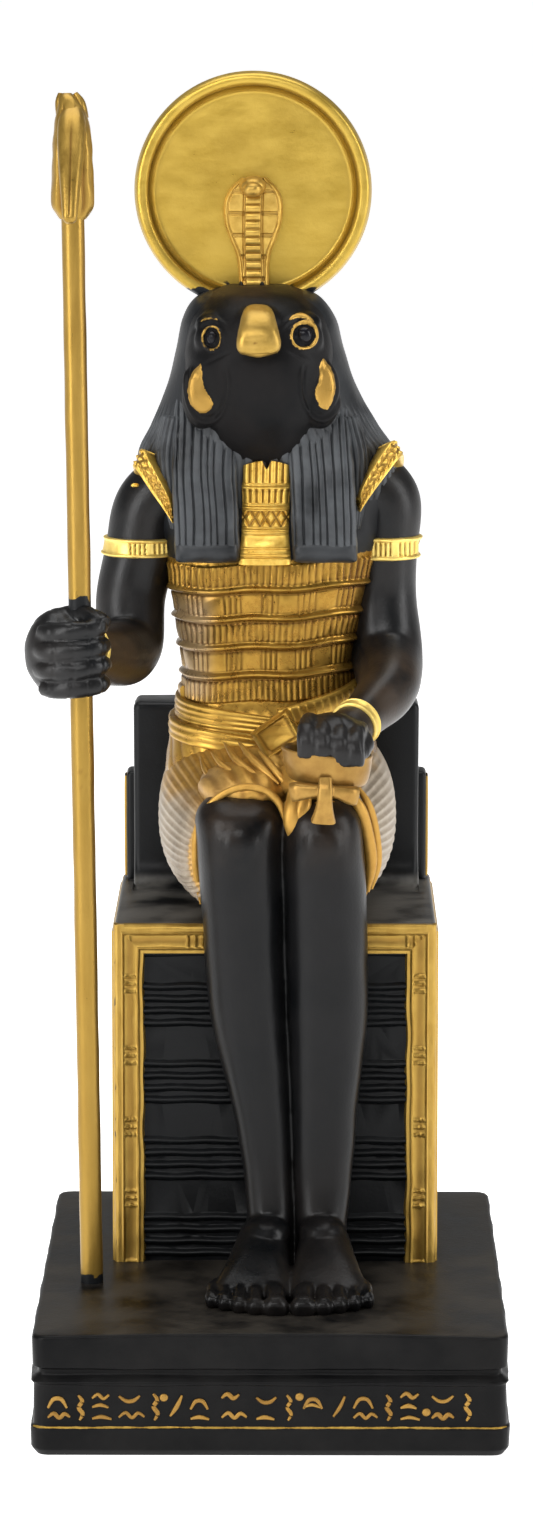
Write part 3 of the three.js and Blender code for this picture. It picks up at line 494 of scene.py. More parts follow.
across, up, ribs = ribbed_panel(2 * (THRONE_HALF - 6.2), 24.7, PANEL_TOP + 0.3)
x = THRONE_MIDDLE - (THRONE_HALF - 6.2) + across
front = np.stack([x, THRONE_FRONT + 1.25 - 0.85 * ribs, up], -1)
back = np.stack([x, np.full_like(x, THRONE_FRONT + 3), up], -1)
# Painted shade between the ribs of the front panel.
throne_parts.append(turned_slab(front[::-1, ::-1], back[::-1, ::-1],
                                hollow=(1 - ribs[::-1, ::-1]) * 0.4))
for side in (-1, 1):
    across, up, ribs = ribbed_panel(62 - 12.4, 24.7, PANEL_TOP + 0.3)
    y = THRONE_FRONT + 6.2 + across
    face = THRONE_MIDDLE + side * (THRONE_HALF - BORDER_RISE)
    front = np.stack([face + side * 0.75 * ribs, y, up], -1)
    back = np.stack([np.full_like(y, face - side * 2), y, up], -1)
    # Painted shade between the ribs of the side panels.
    if side < 0:
        throne_parts.append(slab(front, back, hollow=(1 - ribs) * 0.4))
    else:
        throne_parts.append(turned_slab(front, back, hollow=(1 - ribs) * 0.4))
throne = make_piece("throne", throne_parts, crease=42, most=60000)
# The tint colour here is a pale grey: the painted sheen of the seat top.
settle(throne, painted_resin("throne_resin", satin=0.36, black=(0.0019, 0.0021, 0.0024),
                             pale=(0.0048, 0.0053, 0.006), tint_and_sheen_colour=(0.17, 0.16, 0.142)))

# The throne's borders
# Raised straps cast round the front panel and both side panels: a rolled outer edge, two fine ridges and
# groups of small bars between them. They are brushed with gold, with painted shade in the low places.


def border(wide, high, thick):
    """An upside-down U in two directions: places along it, and distances in from its outer edge, with mitred
    corners. The height follows the distance in, and bars stand in groups between the two ridges."""
    half = wide / 2
    legs = (((-half, 0), (-half, high), (0.0, 0.0), (1.0, -1.0), 200),
            ((-half, high), (half, high), (1.0, -1.0), (-1.0, -1.0), 240),
            ((half, high), (half, 0), (-1.0, -1.0), (0.0, 0.0), 200))
    inset = np.concatenate([np.linspace(0, 0.7, 5), np.linspace(0.9, 6.0, 26), np.linspace(6.2, 6.6, 4)])
    rows = []
    for (ax, az), (bx, bz), first, last, count in legs:
        t = np.linspace(0, 1, count)[:, None]
        lead = (1.0 if ax < 0 else -1.0) if ax == bx else 0.0
        sx = first[0] + (last[0] - first[0]) * t if lead == 0 else np.full_like(t, lead)
        sz = first[1] + (last[1] - first[1]) * t if lead else np.full_like(t, -1.0)
        px = ax + (bx - ax) * t + sx * inset
        pz = az + (bz - az) * t + sz * inset
        rows.append(np.stack([px, pz, pz if lead else px], -1))
    grid = np.concatenate(rows)
    run = grid[..., 2]
    w = np.broadcast_to(inset, run.shape)
    roll = np.sqrt(np.clip(1 - (1 - np.clip(w / 1.1, 0, 1)) ** 2, 0, 1))
    height = thick * roll * step(-w, -6.6, -6.2)
    height = height + 0.42 * hump(w, 1.9, 0.42) + 0.42 * hump(w, 5.2, 0.42) - 0.25 * hump(w, 3.5, 1.5)
    group = np.mod(run + 4.0, 15.5)
    bars = sum(hump(group, centre, 0.42) for centre in (1.0, 2.6, 4.2)) * step(w, 2.1, 2.5)
    bars = bars * step(-w, -5.0, -4.6)
    height = height + 0.5 * bars
    # Painted shade in the low places between the rolled edge, the ridges and the bars.
    hollow = step(thick - height, 0.02, 0.3) * step(w, 0.9, 1.5) * step(-w, -6.3, -5.9)
    return grid[..., 0], grid[..., 1], height, hollow, w


border_parts = []
bx, bz, rise, hollow, inward = border(2 * THRONE_HALF, SEAT_TOP - PLINTH_HEIGHT, BORDER_RISE)
level = THRONE_FRONT + BORDER_RISE
front = np.stack([THRONE_MIDDLE + bx, level - rise, 24.9 + bz], -1)
uneven = ripple(front, 3.0) * 0.1
front[..., 1] += uneven
front[..., 0] += ripple(front, 5.0, 2.0) * 0.25 * step(inward, 4, 6.6)
back = np.stack([THRONE_MIDDLE + bx * 0.995, np.full_like(bx, level + 1.0), 24.9 + bz], -1)
fade = 1 - 0.8 * step(-bx, THRONE_HALF - 0.9, THRONE_HALF) * step(ripple(front, 2.2), -0.2, 0.3)
border_parts.append(turned_slab(front, back, gilt=fade, hollow=hollow * 0.55))
for side in (-1, 1):
    by, bz, rise, hollow, inward = border(THRONE_BACK - THRONE_FRONT, SEAT_TOP - PLINTH_HEIGHT, BORDER_RISE)
    level = THRONE_MIDDLE + side * (THRONE_HALF - BORDER_RISE)
    y = THRONE_FRONT + 31.0 + by
    front = np.stack([level + side * rise, y, 24.9 + bz], -1)
    back = np.stack([np.full_like(y, level - side * 1.0), y, 24.9 + bz], -1)
    if side < 0:
        border_parts.append(slab(front, back, gilt=1.0, hollow=hollow * 0.55))
    else:
        border_parts.append(turned_slab(front, back, gilt=1.0, hollow=hollow * 0.55))
for side in (-1, 1):
    edge = THRONE_MIDDLE + side * (THRONE_HALF - 1.2)
    rows = [[edge, 55.8, 99.8, 0.3, 2.2], [edge + side * 0.1, 55.8, 100.6, 0.45, 2.6],
            [edge + side * 0.1, 55.8, 119.6, 0.45, 2.6], [edge, 55.8, 120.4, 0.3, 2.2]]
    border_parts.append(tube(loft(rows, 60, 28, 5.0, along=(0, 0, 1)), gilt=1.0, hollow=0.2))
borders = make_piece("throne_borders", border_parts, crease=45, most=88000)
gild(borders, "border_gold", brush=(1, 1, 0.35), wear=0.5, gloss=0.34, gold=(0.32, 0.192, 0.038),
     bright=(0.45, 0.29, 0.066))

# The legs and feet
# Two bare legs cast side by side with the throne's front, a crease between them, kneecaps and long bare feet
# with five toes each. Black satin resin, brown over the tops of the knees and a little low on the shins.

SIT = 1.33
SHIN_SHARES = (0, 0.06, 0.12, 0.2, 0.28, 0.36, 0.45, 0.54, 0.64, 0.74, 0.82, 0.88, 0.95)
SHIN_DEPTHS = ((-9.4, 6.77), (-8.9, 5.7), (-8.57, 4.96), (-7.97, 4.51), (-7.5, 4.75), (-7.22, 5.11),
               (-6.8, 5.8), (-6.47, 6.47), (-6.7, 6.8), (-7.07, 7.07), (-7.5, 7.4), (-7.82, 7.67),
               (-7.52, 7.37))
LEGS = (
    (((-0.08, 4.06), (-0.08, 3.88), (-0.08, 3.76), (-0.45, 3.76), (-1.0, 4.15), (-1.65, 4.66), (-2.7, 5.4),
      (-3.68, 6.02), (-4.15, 6.25), (-4.51, 6.39), (-4.75, 6.6), (-4.89, 6.77), (-4.96, 7.0)), -3.38, 1),
    (((7.74, 4.21), (7.78, 4.2), (7.82, 4.21), (8.05, 4.59), (8.2, 5.0), (8.35, 5.34), (8.6, 5.9),
      (8.8, 6.39), (8.7, 6.5), (8.57, 6.54), (8.3, 6.52), (8.05, 6.47), (7.89, 6.17)), 9.25, -1),
)


def fused(name, parts, voxel, rounds):
    """Closed parts run into one skin: a voxel remesh of their union, then a light smoothing."""
    rough = make_piece(name + "_parts", parts, 0)
    remesh = rough.modifiers.new("remesh", "REMESH")
    remesh.mode = "VOXEL"
    remesh.voxel_size = voxel * MM
    soften = rough.modifiers.new("soften", "SMOOTH")
    soften.iterations = rounds
    soften.factor = 0.5
    done = bpy.data.meshes.new_from_object(rough.evaluated_get(bpy.context.evaluated_depsgraph_get()))
    bpy.data.objects.remove(rough)
    done.name = name
    piece = bpy.data.objects.new(name, done)
    bpy.context.scene.collection.objects.link(piece)
    done.shade_smooth()
    return piece


def points_of(piece):
    """The piece's points and outward directions, in millimetres."""
    co = np.empty(len(piece.data.vertices) * 3, np.float32)
    piece.data.vertices.foreach_get("co", co)
    out = np.empty_like(co)
    piece.data.vertices.foreach_get("normal", out)
    return co.reshape(-1, 3).astype(float) / MM, out.reshape(-1, 3).astype(float)


def move_points(piece, points):
    piece.data.vertices.foreach_set("co", (points * MM).astype(np.float32).ravel())
    piece.data.update()


def knob(middle, half, rings=16, sides=24):
    """A rounded knob: half sizes times the cosine and sine of the height angle and the turn."""
    rise = np.linspace(-np.pi / 2, np.pi / 2, rings + 2)[1:-1, None]
    turn = np.linspace(0, 2 * np.pi, sides, endpoint=False)[None]
    flat = np.stack([np.cos(rise) * np.cos(turn), np.cos(rise) * np.sin(turn), np.sin(rise) + 0 * turn], -1)
    return tube(np.array(middle, float) + flat * np.array(half, float))


leg_parts = []
toe_places = []
for widths, foot, toe_side in LEGS:
    low, high = 24.4, 129.4 - 0.8 * SIT
    rows = [[w[0] * SIT, THRONE_FRONT + d[0] * SIT, low + (high - low) * s, w[1] * SIT, d[1] * SIT]
            for s, w, d in zip(SHIN_SHARES, widths, SHIN_DEPTHS)]
    x, y, _, a, b = rows[-1]
    rows.append([x, y + 0.8 * SIT, low + (high - low) * 0.985, a * 0.75, b * 0.7])
    rows.append([x, y + 1.5 * SIT, high, a * 0.3, b * 0.3])
    leg_parts.append(tube(loft(rows, 90, 48, 2.15, along=(0, 0, 1))))
    knee_x, knee_y = widths[-2][0] * SIT, THRONE_FRONT - 15.0 * SIT
    leg_parts.append(knob([knee_x, knee_y + 1.6, 118.5], [4.6, 2.9, 5.4]))
    leg_parts.append(knob([knee_x, knee_y + 2.4, 109.5], [2.9, 1.9, 3.4]))
    ankle = widths[0][0] * SIT
    leg_parts.append(knob([ankle - toe_side * 5.0, -12.3, 31.5], [1.7, 2.3, 2.2]))
    leg_parts.append(knob([ankle * 0.8 + foot * SIT * 0.2, -19.5, 35.5], [5.0, 6.0, 4.0]))
    foot_x, half = foot * SIT, 8.4
    rows = []
    for k, (share, wide, z, tall) in enumerate(((0, 0.42, 3.8, 2.3), (0.14, 0.58, 5.6, 4.5),
                                                (0.34, 0.66, 5.4, 5.4), (0.56, 0.82, 3.9, 4.0),
                                                (0.7, 0.95, 2.7, 2.8), (0.79, 0.96, 1.8, 1.9))):
        rows.append([ankle + (foot_x - ankle) * k / 5, -2.6 - 46 * share, 24.4 + z * SIT, wide * half,
                     tall * SIT])
    leg_parts.append(tube(loft(rows, 50, 40, 2.3, along=(0, -1, 0))))
    inner_side = foot_x + toe_side * (half - 0.3)
    for toe in range(5):
        wide = (2.55, 1.72, 1.6, 1.5, 1.45)[toe]
        x = inner_side - toe_side * (2.5, 6.7, 9.95, 13.0, 15.75)[toe]
        tip = (-49.2, -48.6, -47.2, -45.4, -43.0)[toe]
        tall = (2.5, 2.05, 1.95, 1.85, 1.75)[toe]
        back_x = x * 0.85 + foot_x * 0.15
        rows = [[back_x, tip + 12.5, 27.4, wide * 0.9, tall * 0.9],
                [x * 0.97 + back_x * 0.03, tip + 8.0, 27.6, wide * 0.82, tall],
                [x, tip + 4.6, 27.2, wide * 0.8, tall * 0.9], [x, tip + 2.2, 26.9, wide * 1.02, tall * 1.06],
                [x, tip + 0.8, 26.7, wide * 0.9, tall * 0.9], [x, tip + 0.1, 26.5, wide * 0.5, tall * 0.5]]
        leg_parts.append(tube(loft(rows, 30, 22, 2.3)))
        toe_places.append((x, tip + 1.9, 26.9 + tall, wide, tall / 1.95))
legs = fused("legs", leg_parts, voxel=0.44, rounds=6)
points, out = points_of(legs)
for x, y, z, wide, size in toe_places:
    reach = np.hypot((points[:, 0] - x) / (wide * 0.72), (points[:, 1] - y) / (1.45 * size))
    nail = step(1 - reach, 0, 0.22)
    nail *= step(points[:, 2], z - 1.6, z - 0.9)
    rim = nail * (1 - nail) * 4
    points = points + out * (0.12 * nail - 0.16 * rim)[:, None]
for side_x in (LEGS[0][0][-2][0] * SIT, LEGS[1][0][-2][0] * SIT):
    dip = np.exp(-(((points[:, 0] - side_x) / 2.2) ** 2 + ((points[:, 2] - 113.0) / 1.7) ** 2))
    points = points + out * (-0.25 * dip * (points[:, 1] < -12))[:, None]
points = points + out * (0.08 * ripple(points, 5.0))[:, None]
move_points(legs, points)
z = points[:, 2]
# The crease between the legs is marked with painted shade in the shade layer.
crease = np.exp(-((points[:, 0] - 2.6) / 1.6) ** 2) * step(z, 36, 50)
paint(legs, warm=0.5 * step(z, 110, 126) + 0.12 * step(-z, -60, -30) + 0.05, hollow=0.5 * crease)
thinned(legs, most=44000)
settle(legs, painted_resin("skin_resin", satin=0.31, black=(0.002, 0.0023, 0.0027),
                           pale=(0.0045, 0.005, 0.0058)))

# The kilt
# A pleated linen kilt cast over the hips and thighs: pearly cream at the sides, where fine pleats fan out,
# and gold in front, with a gold hem that arches over each knee and folds that fall between the knees.

kilt_rows = []
for share, x, z, a, b in ((0, 0, 15, 14.3, 11.3), (0.1, 0, 15.6, 17.8, 14.7), (0.3, 0.2, 15.6, 19.1, 15.8),
                          (0.55, 0.3, 15, 19.2, 15.2), (0.75, 0.4, 13.7, 18.2, 13.5),
                          (0.9, 0.5, 12.5, 16.6, 11.9), (0.97, 0.5, 12.0, 15.2, 10.6),
                          (1.0, 0.5, 12, 14.2, 9.9)):
    kilt_rows.append([x * SIT + 0.7, 46.6 + (-9.7 - 46.6) * share, SEAT_TOP + z * SIT, a * SIT, b * SIT])
grid = loft(kilt_rows, 190, 460, 2.3, along=(0, -1, 0))
turn = np.arctan2((grid[..., 2] - 114.4) / 1.0, grid[..., 0] - 1.4)
share = np.linspace(0, 1, 190)[:, None] + 0 * turn
pleat = np.sin(turn * 46 + 1.2 * np.sin(share * 5 + turn * 2))
side_turn = np.abs(np.cos(turn))
depth = 0.34 * step(share, 0.25, 0.6) * (0.35 + 0.65 * step(side_turn, 0.3, 0.7))
folds = hump(np.mod(turn * 9 + share * 2.2, 2.0), 1.0, 1.0) * step(grid[..., 2], 118, 127)
folds = folds * step(share, 0.5, 0.8)
height = depth * (1 - np.abs(pleat)) - depth * 0.5 + 0.5 * folds - 0.2
low = step(-grid[..., 2], -112, -104)
notch = hump(np.mod(turn * 11, 1.0), 0.5, 0.16) * low * step(share, 0.55, 0.7) * step(-share, -0.95, -0.85)
height = height - 0.7 * notch
grid = lifted(grid, height)
x, y, z = grid[..., 0], grid[..., 1], grid[..., 2]
aside = np.abs(x - 0.7) + 1.2 * ripple(grid, 5.0, 3.0)
upper = np.where(x < 0, 0.1, 0.42) * np.abs(x)
pearl = step(aside, 12.0, 18.0) * step(-z + upper + 1.5 * ripple(grid, 4.0), -127.0, -119.0)
pearl = np.clip(pearl + 0.8 * step(y, 16, 30), 0, 1) * (1 - 0.75 * step(share, 0.95, 1.0))
# Painted shade in the pleats' troughs, more on the gold front than the cream sides, and in the notches.
hollow = np.clip(0.5 * step(np.abs(pleat), 0.8, 1.0) * (0.3 + 0.7 * (1 - pearl)) + notch, 0, 1)
kilt_parts = [tube(grid, gilt=1.0, pearl=pearl, hollow=hollow * 0.8)]


def run_along(points, radius, rings=60, sides=12, flat=1.0, **layers):
    """A round or flat strip along a path, thin at its two ends."""
    count = len(points)
    taper = np.ones(count)
    taper[0] = taper[-1] = 0.35
    rows = np.column_stack([np.array(points, float), radius * taper, radius * flat * taper])
    return tube(loft(rows, rings, sides, across=(0, 1, 0.2)), **layers)


left_arch = [[-14.9, -6, 103.5], [-15.5, -9, 109], [-16.0, -11.5, 114.5], [-15.6, -13, 120],
             [-13.6, -14.2, 124.8], [-10.2, -15, 128.2], [-5.8, -15.6, 129.9], [-1.4, -15.8, 129.2],
             [1.5, -16.2, 126.8], [2.7, -16.5, 123]]
right_arch = [[3.4, -16.6, 119.8], [4.8, -16.8, 122.8], [7.4, -17, 125.2], [10.6, -17, 126.6],
              [14.2, -15.8, 125.8], [17.0, -13.6, 122.6], [18.6, -11, 117.5], [19.4, -9, 112],
              [19.6, -7, 107], [18.8, -6, 103.5]]
for arch in (left_arch, right_arch):
    kilt_parts.append(run_along(arch, 0.62, 110, 14, 1.3, gilt=1.0, hollow=0.05))
drapes = (([[4.2, -15, 129.5], [4.6, -17.6, 126.0], [4.4, -18.4, 122.6], [4.0, -17.8, 120.0]], 1.5),
          ([[6.6, -14.6, 130.0], [7.0, -17.4, 127.8], [6.2, -18.6, 124.6], [4.9, -18.4, 121.4]], 1.1),
          ([[15.6, -14.8, 129.0], [18.2, -14.6, 125.8], [20.0, -12.6, 120.2], [20.9, -10.4, 113.2],
            [20.2, -8.4, 106.6]], 0.95), ([[17.6, -12.0, 130.0], [20.2, -12.0, 125.6], [21.8, -10.4, 119.4],
                                           [22.2, -8.8, 112.6], [21.0, -7.4, 107.0]], 0.7),)
for path, radius in drapes:
    kilt_parts.append(run_along(path, radius, 60, 16, 1.3, gilt=1.0, hollow=0.15))
crumples = (
    [[-12.6, -2.0, 135.6], [-10.4, -6.0, 133.6], [-7.0, -9.0, 131.8], [-3.0, -11.0, 131.0]],
    [[-9.8, -1.0, 137.2], [-7.6, -6.0, 134.8], [-4.4, -9.6, 132.8], [-1.0, -12.0, 131.2]],
    [[-6.8, -2.0, 137.6], [-4.2, -7.0, 135.2], [-1.4, -10.6, 133.0], [1.6, -13.0, 130.6]],
    [[-15.0, 2.0, 134.0], [-13.8, -3.0, 131.8], [-10.8, -8.0, 129.8], [-6.6, -11.4, 129.8]],
    [[-2.6, -6.0, 136.4], [-0.4, -9.4, 134.4], [2.2, -12.6, 131.6], [4.0, -14.0, 128.8]],
)
for k, path in enumerate(crumples):
    sunk = [[px, py + 0.3, pz - 0.5] for px, py, pz in path]
    kilt_parts.append(run_along(sunk, 0.8 + 0.1 * (k % 3), 50, 16, 0.8, gilt=1.0, hollow=0.1))
for middle, size in (((-5.0, -4.5, 128.3), (10.5, 11.5, 5.0)), ((9.6, -6.5, 130.0), (9.0, 12.0, 5.2)),
                     ((1.2, 3.0, 131.9), (8.0, 9.5, 4.6))):
    points, faces, layers = knob(middle, size, 60, 100)
    fold = np.sin(points[:, 0] * 1.5 + points[:, 1] * 0.8 + 1.2 * np.sin(points[:, 1] * 0.3))
    points = points + np.column_stack([0 * fold, 0 * fold, 0.38 * fold])
    side_pearl = 0.15 * step(-points[:, 0] - points[:, 1] * 0.2, 8.5, 14)
    # Painted shade in the troughs of the folds.
    kilt_parts.append((points, faces, {"gilt": np.ones(len(points)), "pearl": side_pearl,
                                       "hollow": 0.6 * step(-fold, 0.2, 1.0)}))
kilt = make_piece("kilt", kilt_parts, crease=60, most=92000)
gild(kilt, "kilt_paint", gold=(0.34, 0.18, 0.035), bright=(0.5, 0.29, 0.065), metal=0.6, gloss=0.38,
     deep=(0.12, 0.052, 0.012), cream=(0.235, 0.185, 0.13))

# The corselet
# The torso in a feathered corselet of bands: fluted rows, thin ridges between them and plain rows with
# groups of small bars. Cast with the body and gilt, paler down one flank, with painted shade in the flutes,
# beside the ridges and down the other flank.

TORSO_Y, LEAN = 24.72, 3.0


def on_body(x, y, z):
    """Millimetres from hundredths of the sitting height: the body leans 3 mm to one side from the waist up."""
    return [x * SIT - LEAN * max(0.0, z - 35) / 58, TORSO_Y + y * SIT, SEAT_TOP + z * SIT]


def body_rows(rows):
    return [[*on_body(x, y, z), a * SIT, b * SIT, *more] for x, y, z, a, b, *more in rows]


TORSO = ((0.2, -0.5, 22, 17.6, 13), (-0.2, -0.8, 29, 16.2, 12), (-0.4, -0.8, 35, 14, 10.8),
         (-0.2, -1, 44, 14.4, 10.8), (0.4, -1, 54, 16.4, 11.6), (1.0, -0.6, 62, 18.6, 11.2),
         (1.4, 0, 69, 19, 10), (1.6, 0.4, 75, 12, 8))
grid = loft(body_rows(TORSO), 400, 420, 2.3, along=(0, 0, 1))
turn = np.arctan2(grid[..., 1] - TORSO_Y, grid[..., 0] - grid[..., 0].mean(1, keepdims=True))
front_turn = np.mod(turn + np.pi / 2 + np.pi, 2 * np.pi) - np.pi
tilt = grid[..., 2] - 0.045 * grid[..., 0] + 0.25 * np.sin(grid[..., 0] * 0.35)
run = front_turn * 19.0
height = np.zeros(tilt.shape)
# Painted shade in the flutes, along the bars' edges, beside each ridge and in the hip pleats.
painted_shade = np.zeros(tilt.shape)
for foot, top, kind in ((144.2, 149.0, "fluted"), (150.9, 155.3, "bars"), (156.9, 161.4, "fluted"),
                        (163.0, 167.4, "bars"), (169.0, 173.9, "fluted")):
    inside = step(tilt, foot, foot + 0.35) * step(-tilt, -top, -top + 0.35)
    if kind == "fluted":
        flute = np.abs(np.sin(run * np.pi / 1.5)) ** 0.7
        deep = 0.75 + 0.25 * ripple(grid, 2.1, foot)
        height += inside * (0.05 + 0.62 * flute * deep)
        painted_shade += inside * np.clip(1.5 * (1 - flute) ** 1.3, 0, 1) * deep
    else:
        near = np.mod(run + 2.2, 8.8)
        bars = np.clip(sum(hump(near, middle, 0.42) for middle in (1.0, 2.3, 3.6)), 0, 1)
        edges = np.clip(sum(hump(near, middle, 0.3) for middle in (0.35, 1.65, 2.95, 4.25)), 0, 1)
        height += inside * (0.15 + 0.3 * bars - 0.15 * edges)
        painted_shade += inside * edges * 0.9
for middle in (149.9, 156.1, 162.2, 168.4):
    height += 1.15 * hump(tilt, middle, 1.05)
    painted_shade += 0.75 * hump(tilt, middle - 1.05, 0.5) + 0.35 * hump(tilt, middle + 1.1, 0.35)
height += 0.16 * ripple(grid, 3.4, 4.0)
hips = step(-tilt, -143.5, -141.0)
pleats = np.abs(np.sin(run * 0.9 + tilt * 0.35))
height += hips * (0.16 * pleats - 0.1)
painted_shade += hips * 0.5 * (1 - pleats) ** 2
grid = lifted(grid, height - 0.1)
flank = step(-(grid[..., 0] + 0.25 * (grid[..., 1] - 20)), 13.5, 17.5) * step(-grid[..., 2], -169, -163)
flank *= step(grid[..., 2], 143, 146)
# Painted shade down the flank on the +X side.
painted_shade = painted_shade + 0.45 * step(grid[..., 0], 13.0, 18.5)
gold_part = step(-tilt, -175.0, -174.5)
torso = make_piece("corselet", [tube(grid, gilt=gold_part, pearl=flank * 0.4,
                                     hollow=np.clip(painted_shade, 0, 1))], crease=0, most=104000)
gild(torso, "corselet_gold", gloss=0.26, metal=0.78, gold=(0.245, 0.127, 0.02), bright=(0.37, 0.217, 0.039),
     deep=(0.06, 0.022, 0.004), grain=0.12)

# The belt
# A broad strap that wraps the waist from one side and a narrower one from the other, crossing under a square
# plaque. Raised in the casting and gilt, with fine lines along it.

belt_parts = []


def strap(rows, rings, sides, ridges, cells=0.0):
    """A flat strap along a path. Across its width run the given number of ridges, 0.2 high; cells are bars
    across it, that far apart."""
    grid = loft(rows, rings, sides, 4.0, across=(0, 0, 1))
    middle = grid.mean(1, keepdims=True)
    away = grid - middle
    half = np.array(smooth_rows(rows, rings))[:, 3]
    upward = np.clip(away[..., 2] / half[:, None], -1, 1)
    line_height = np.cos(upward * np.pi * ridges) * 0.5 + 0.5
    height = 0.22 * line_height
    # Painted shade between the ridges and round the bars.
    hollow = (1 - line_height) ** 3 * 0.5
    if cells:
        path = np.array(smooth_rows(rows, rings))[:, :3]
        length = np.concatenate([[0], np.cumsum(np.linalg.norm(np.diff(path, axis=0), axis=1))])[:, None]
        bar = hump(np.mod(length, cells), cells / 2, 0.45) * step(1 - np.abs(upward), 0.2, 0.4)
        height = np.maximum(height, 0.35 * bar)
        hollow = np.maximum(hollow * 0.8, 0.5 * step(1 - np.abs(upward), 0.25, 0.4) * (1 - bar))
    return tube(lifted(grid, height), gilt=1.0, hollow=hollow)


def waist(degrees, level, out, half):
    """A station of a strap on the torso: its direction round the waist, its level, how far out and its half
    height. The torso there is |x/a|^2.3 + |y/b|^2.3 = 1."""
    c, s = np.cos(np.radians(degrees)), np.sin(np.radians(degrees))
    heights, halves_x, halves_y = np.array(TORSO[:4])[:, 2:].T
    wide = np.interp(level, heights, halves_x)
    deep = np.interp(level, heights, halves_y)
    reach = (np.abs(c / wide) ** 2.3 + np.abs(s / deep) ** 2.3) ** (-1 / 2.3) + out
    return on_body(c * reach - 0.3, s * reach - 0.8, level) + [half * SIT, 0.6 * SIT]


belt_parts.append(strap([waist(-205 + 17 * k, 32.9 - 0.38 * k, -0.3, 2.3 - 0.09 * k) for k in range(8)], 170,
                        90, 4.5))
belt_parts.append(strap([waist(-200 + 17 * k, 30.2 - 0.5 * k, -0.25, 1.5) for k in range(7)], 150, 60, 2.5))
belt_parts.append(strap([waist(-8 - 15 * k, 36.2 - 0.85 * k, 0.35 + 0.05 * k, 1.45) for k in range(6)], 150,
                        60, 0.5, 1.7))
back_strap = []
for angle in np.linspace(-0.25, np.pi + 0.25, 14):
    back_strap.append(waist(np.degrees(angle), 33.6, -0.2, 2.3))
belt_parts.append(strap(back_strap, 150, 50, 2.5))
corner = np.array([[-4.6, 4.0, 138.0], [3.2, 6.4, 143.3], [6.6, 2.0, 137.7], [-0.9, -5.4, 133.9]])
s, t = np.meshgrid(np.linspace(0, 1, 50), np.linspace(0, 1, 50), indexing="ij")
flat = ((1 - s) * (1 - t))[..., None] * corner[0] + (s * (1 - t))[..., None] * corner[1]
flat = flat + (s * t)[..., None] * corner[2] + ((1 - s) * t)[..., None] * corner[3]
rim_share = np.minimum(np.minimum(s, 1 - s), np.minimum(t, 1 - t))
rise = 0.6 * step(rim_share, 0, 0.03) + 0.55 * hump(rim_share, 0.09, 0.06)
rise = rise + 0.35 * hump(rim_share, 0.5, 0.34)
face = flat + np.array([0, -1, 0.15]) * rise[..., None]
# Painted shade in the groove inside the plaque's rim and at its edge.
belt_parts.append(slab(face.transpose(1, 0, 2), (flat + [0, 2.2, 0]).transpose(1, 0, 2), gilt=1.0,
                       hollow=(0.7 * hump(rim_share, 0.165, 0.05) + 0.3 * hump(rim_share, 0.02, 0.03)).T))
belt = make_piece("belt", belt_parts, crease=60, most=32000)
gild(belt, "belt_gold", brush=(0.3, 1, 1), gloss=0.27, gold=(0.34, 0.187, 0.03), bright=(0.52, 0.32, 0.062),
     deep=(0.07, 0.027, 0.005), grain=0.15)

# The arms
# Bare black arms with closed fists, cast against the body: the one fist is pierced for the sceptre, the
# other lies on the lap with the looped cross under its palm.

RIGHT_ARM = ((-14.2, 0, 68, 6.2, 6.8), (-18.4, 0, 64.2, 6.0, 6.6), (-20.2, -0.2, 57.6, 5.8, 6.2),
             (-22.2, -1, 50, 5.6, 5.8), (-22.7, -4, 42.6, 5.4, 5.6), (-25, -14, 42.4, 4.8, 5.0),
             (-28.2, -25, 44.4, 3.9, 4.0), (-30, -29, 45.2, 3.8, 4.0))
LEFT_ARM = ((15, 0, 69, 6.2, 6.8), (19.2, 0, 65.2, 5.8, 6.4), (18.9, -0.4, 57, 5.2, 5.8),
            (18.4, -1, 49, 5.4, 5.6), (18.6, -4, 41, 5.8, 5.6), (18.4, -14, 37, 4.8, 4.8),
            (14.4, -23, 33.8, 3.6, 3.7), (11.0, -30, 31.8, 3.8, 3.2))
GRIP = (-29.2, -32.8, 45.4)
LEFT_FIST = (10.0, -33.4, 31.6)


def curled(points, radius):
    rows = [[*on_body(*point), radius * SIT * (0.82, 1, 1.05, 0.98, 0.8)[k], radius * SIT] for k, point in
            enumerate(points)]
    return tube(loft(rows, 34, 20, 2.2, across=(0, 0, 1)))


x, y, z = GRIP
right_parts = [tube(loft(body_rows(RIGHT_ARM), 110, 44))]
right_parts.append(knob(on_body(x - 3.3, y + 0.8, z - 0.2), [5.5 * SIT, 5.6 * SIT, 6.9 * SIT], 24, 32))
right_parts.append(knob(on_body(x - 2.2, y - 0.4, z - 0.4), [5.2 * SIT, 5.2 * SIT, 6.2 * SIT], 24, 32))
for row in range(4):
    level = z + 3.9 - 2.95 * row
    drop = 0.7 if row in (0, 3) else 0
    right_parts.append(curled([[x - 6.2 + drop, y - 2.0, level - 0.6],
                               [x - 4.6 + drop, y - 4.7 + drop, level - 0.4],
                               [x - 0.6, y - 6.1 + drop, level], [x + 2.6, y - 5.0 + drop, level + 0.3],
                               [x + 3.6 - drop * 0.6, y - 2.2, level + 0.5]], 1.5))
right_parts.append(curled([[x - 3.6, y + 4.4, z + 3.6], [x - 2.6, y + 2.2, z + 5.0],
                           [x + 0.2, y - 0.6, z + 5.8], [x + 2.6, y - 3.0, z + 5.4],
                           [x + 4.2, y - 4.2, z + 4.8]], 1.6))
x, y, z = LEFT_FIST
left_parts = [tube(loft(body_rows(LEFT_ARM), 110, 44))]
x -= 0.7
left_parts.append(knob(on_body(x, y + 1.4, z + 0.4), [5.4 * SIT, 5.2 * SIT, 3.7 * SIT], 24, 32))
left_parts.append(knob(on_body(x + 0.4, y - 2.0, z - 0.2), [4.6 * SIT, 2.9 * SIT, 2.7 * SIT], 24, 32))
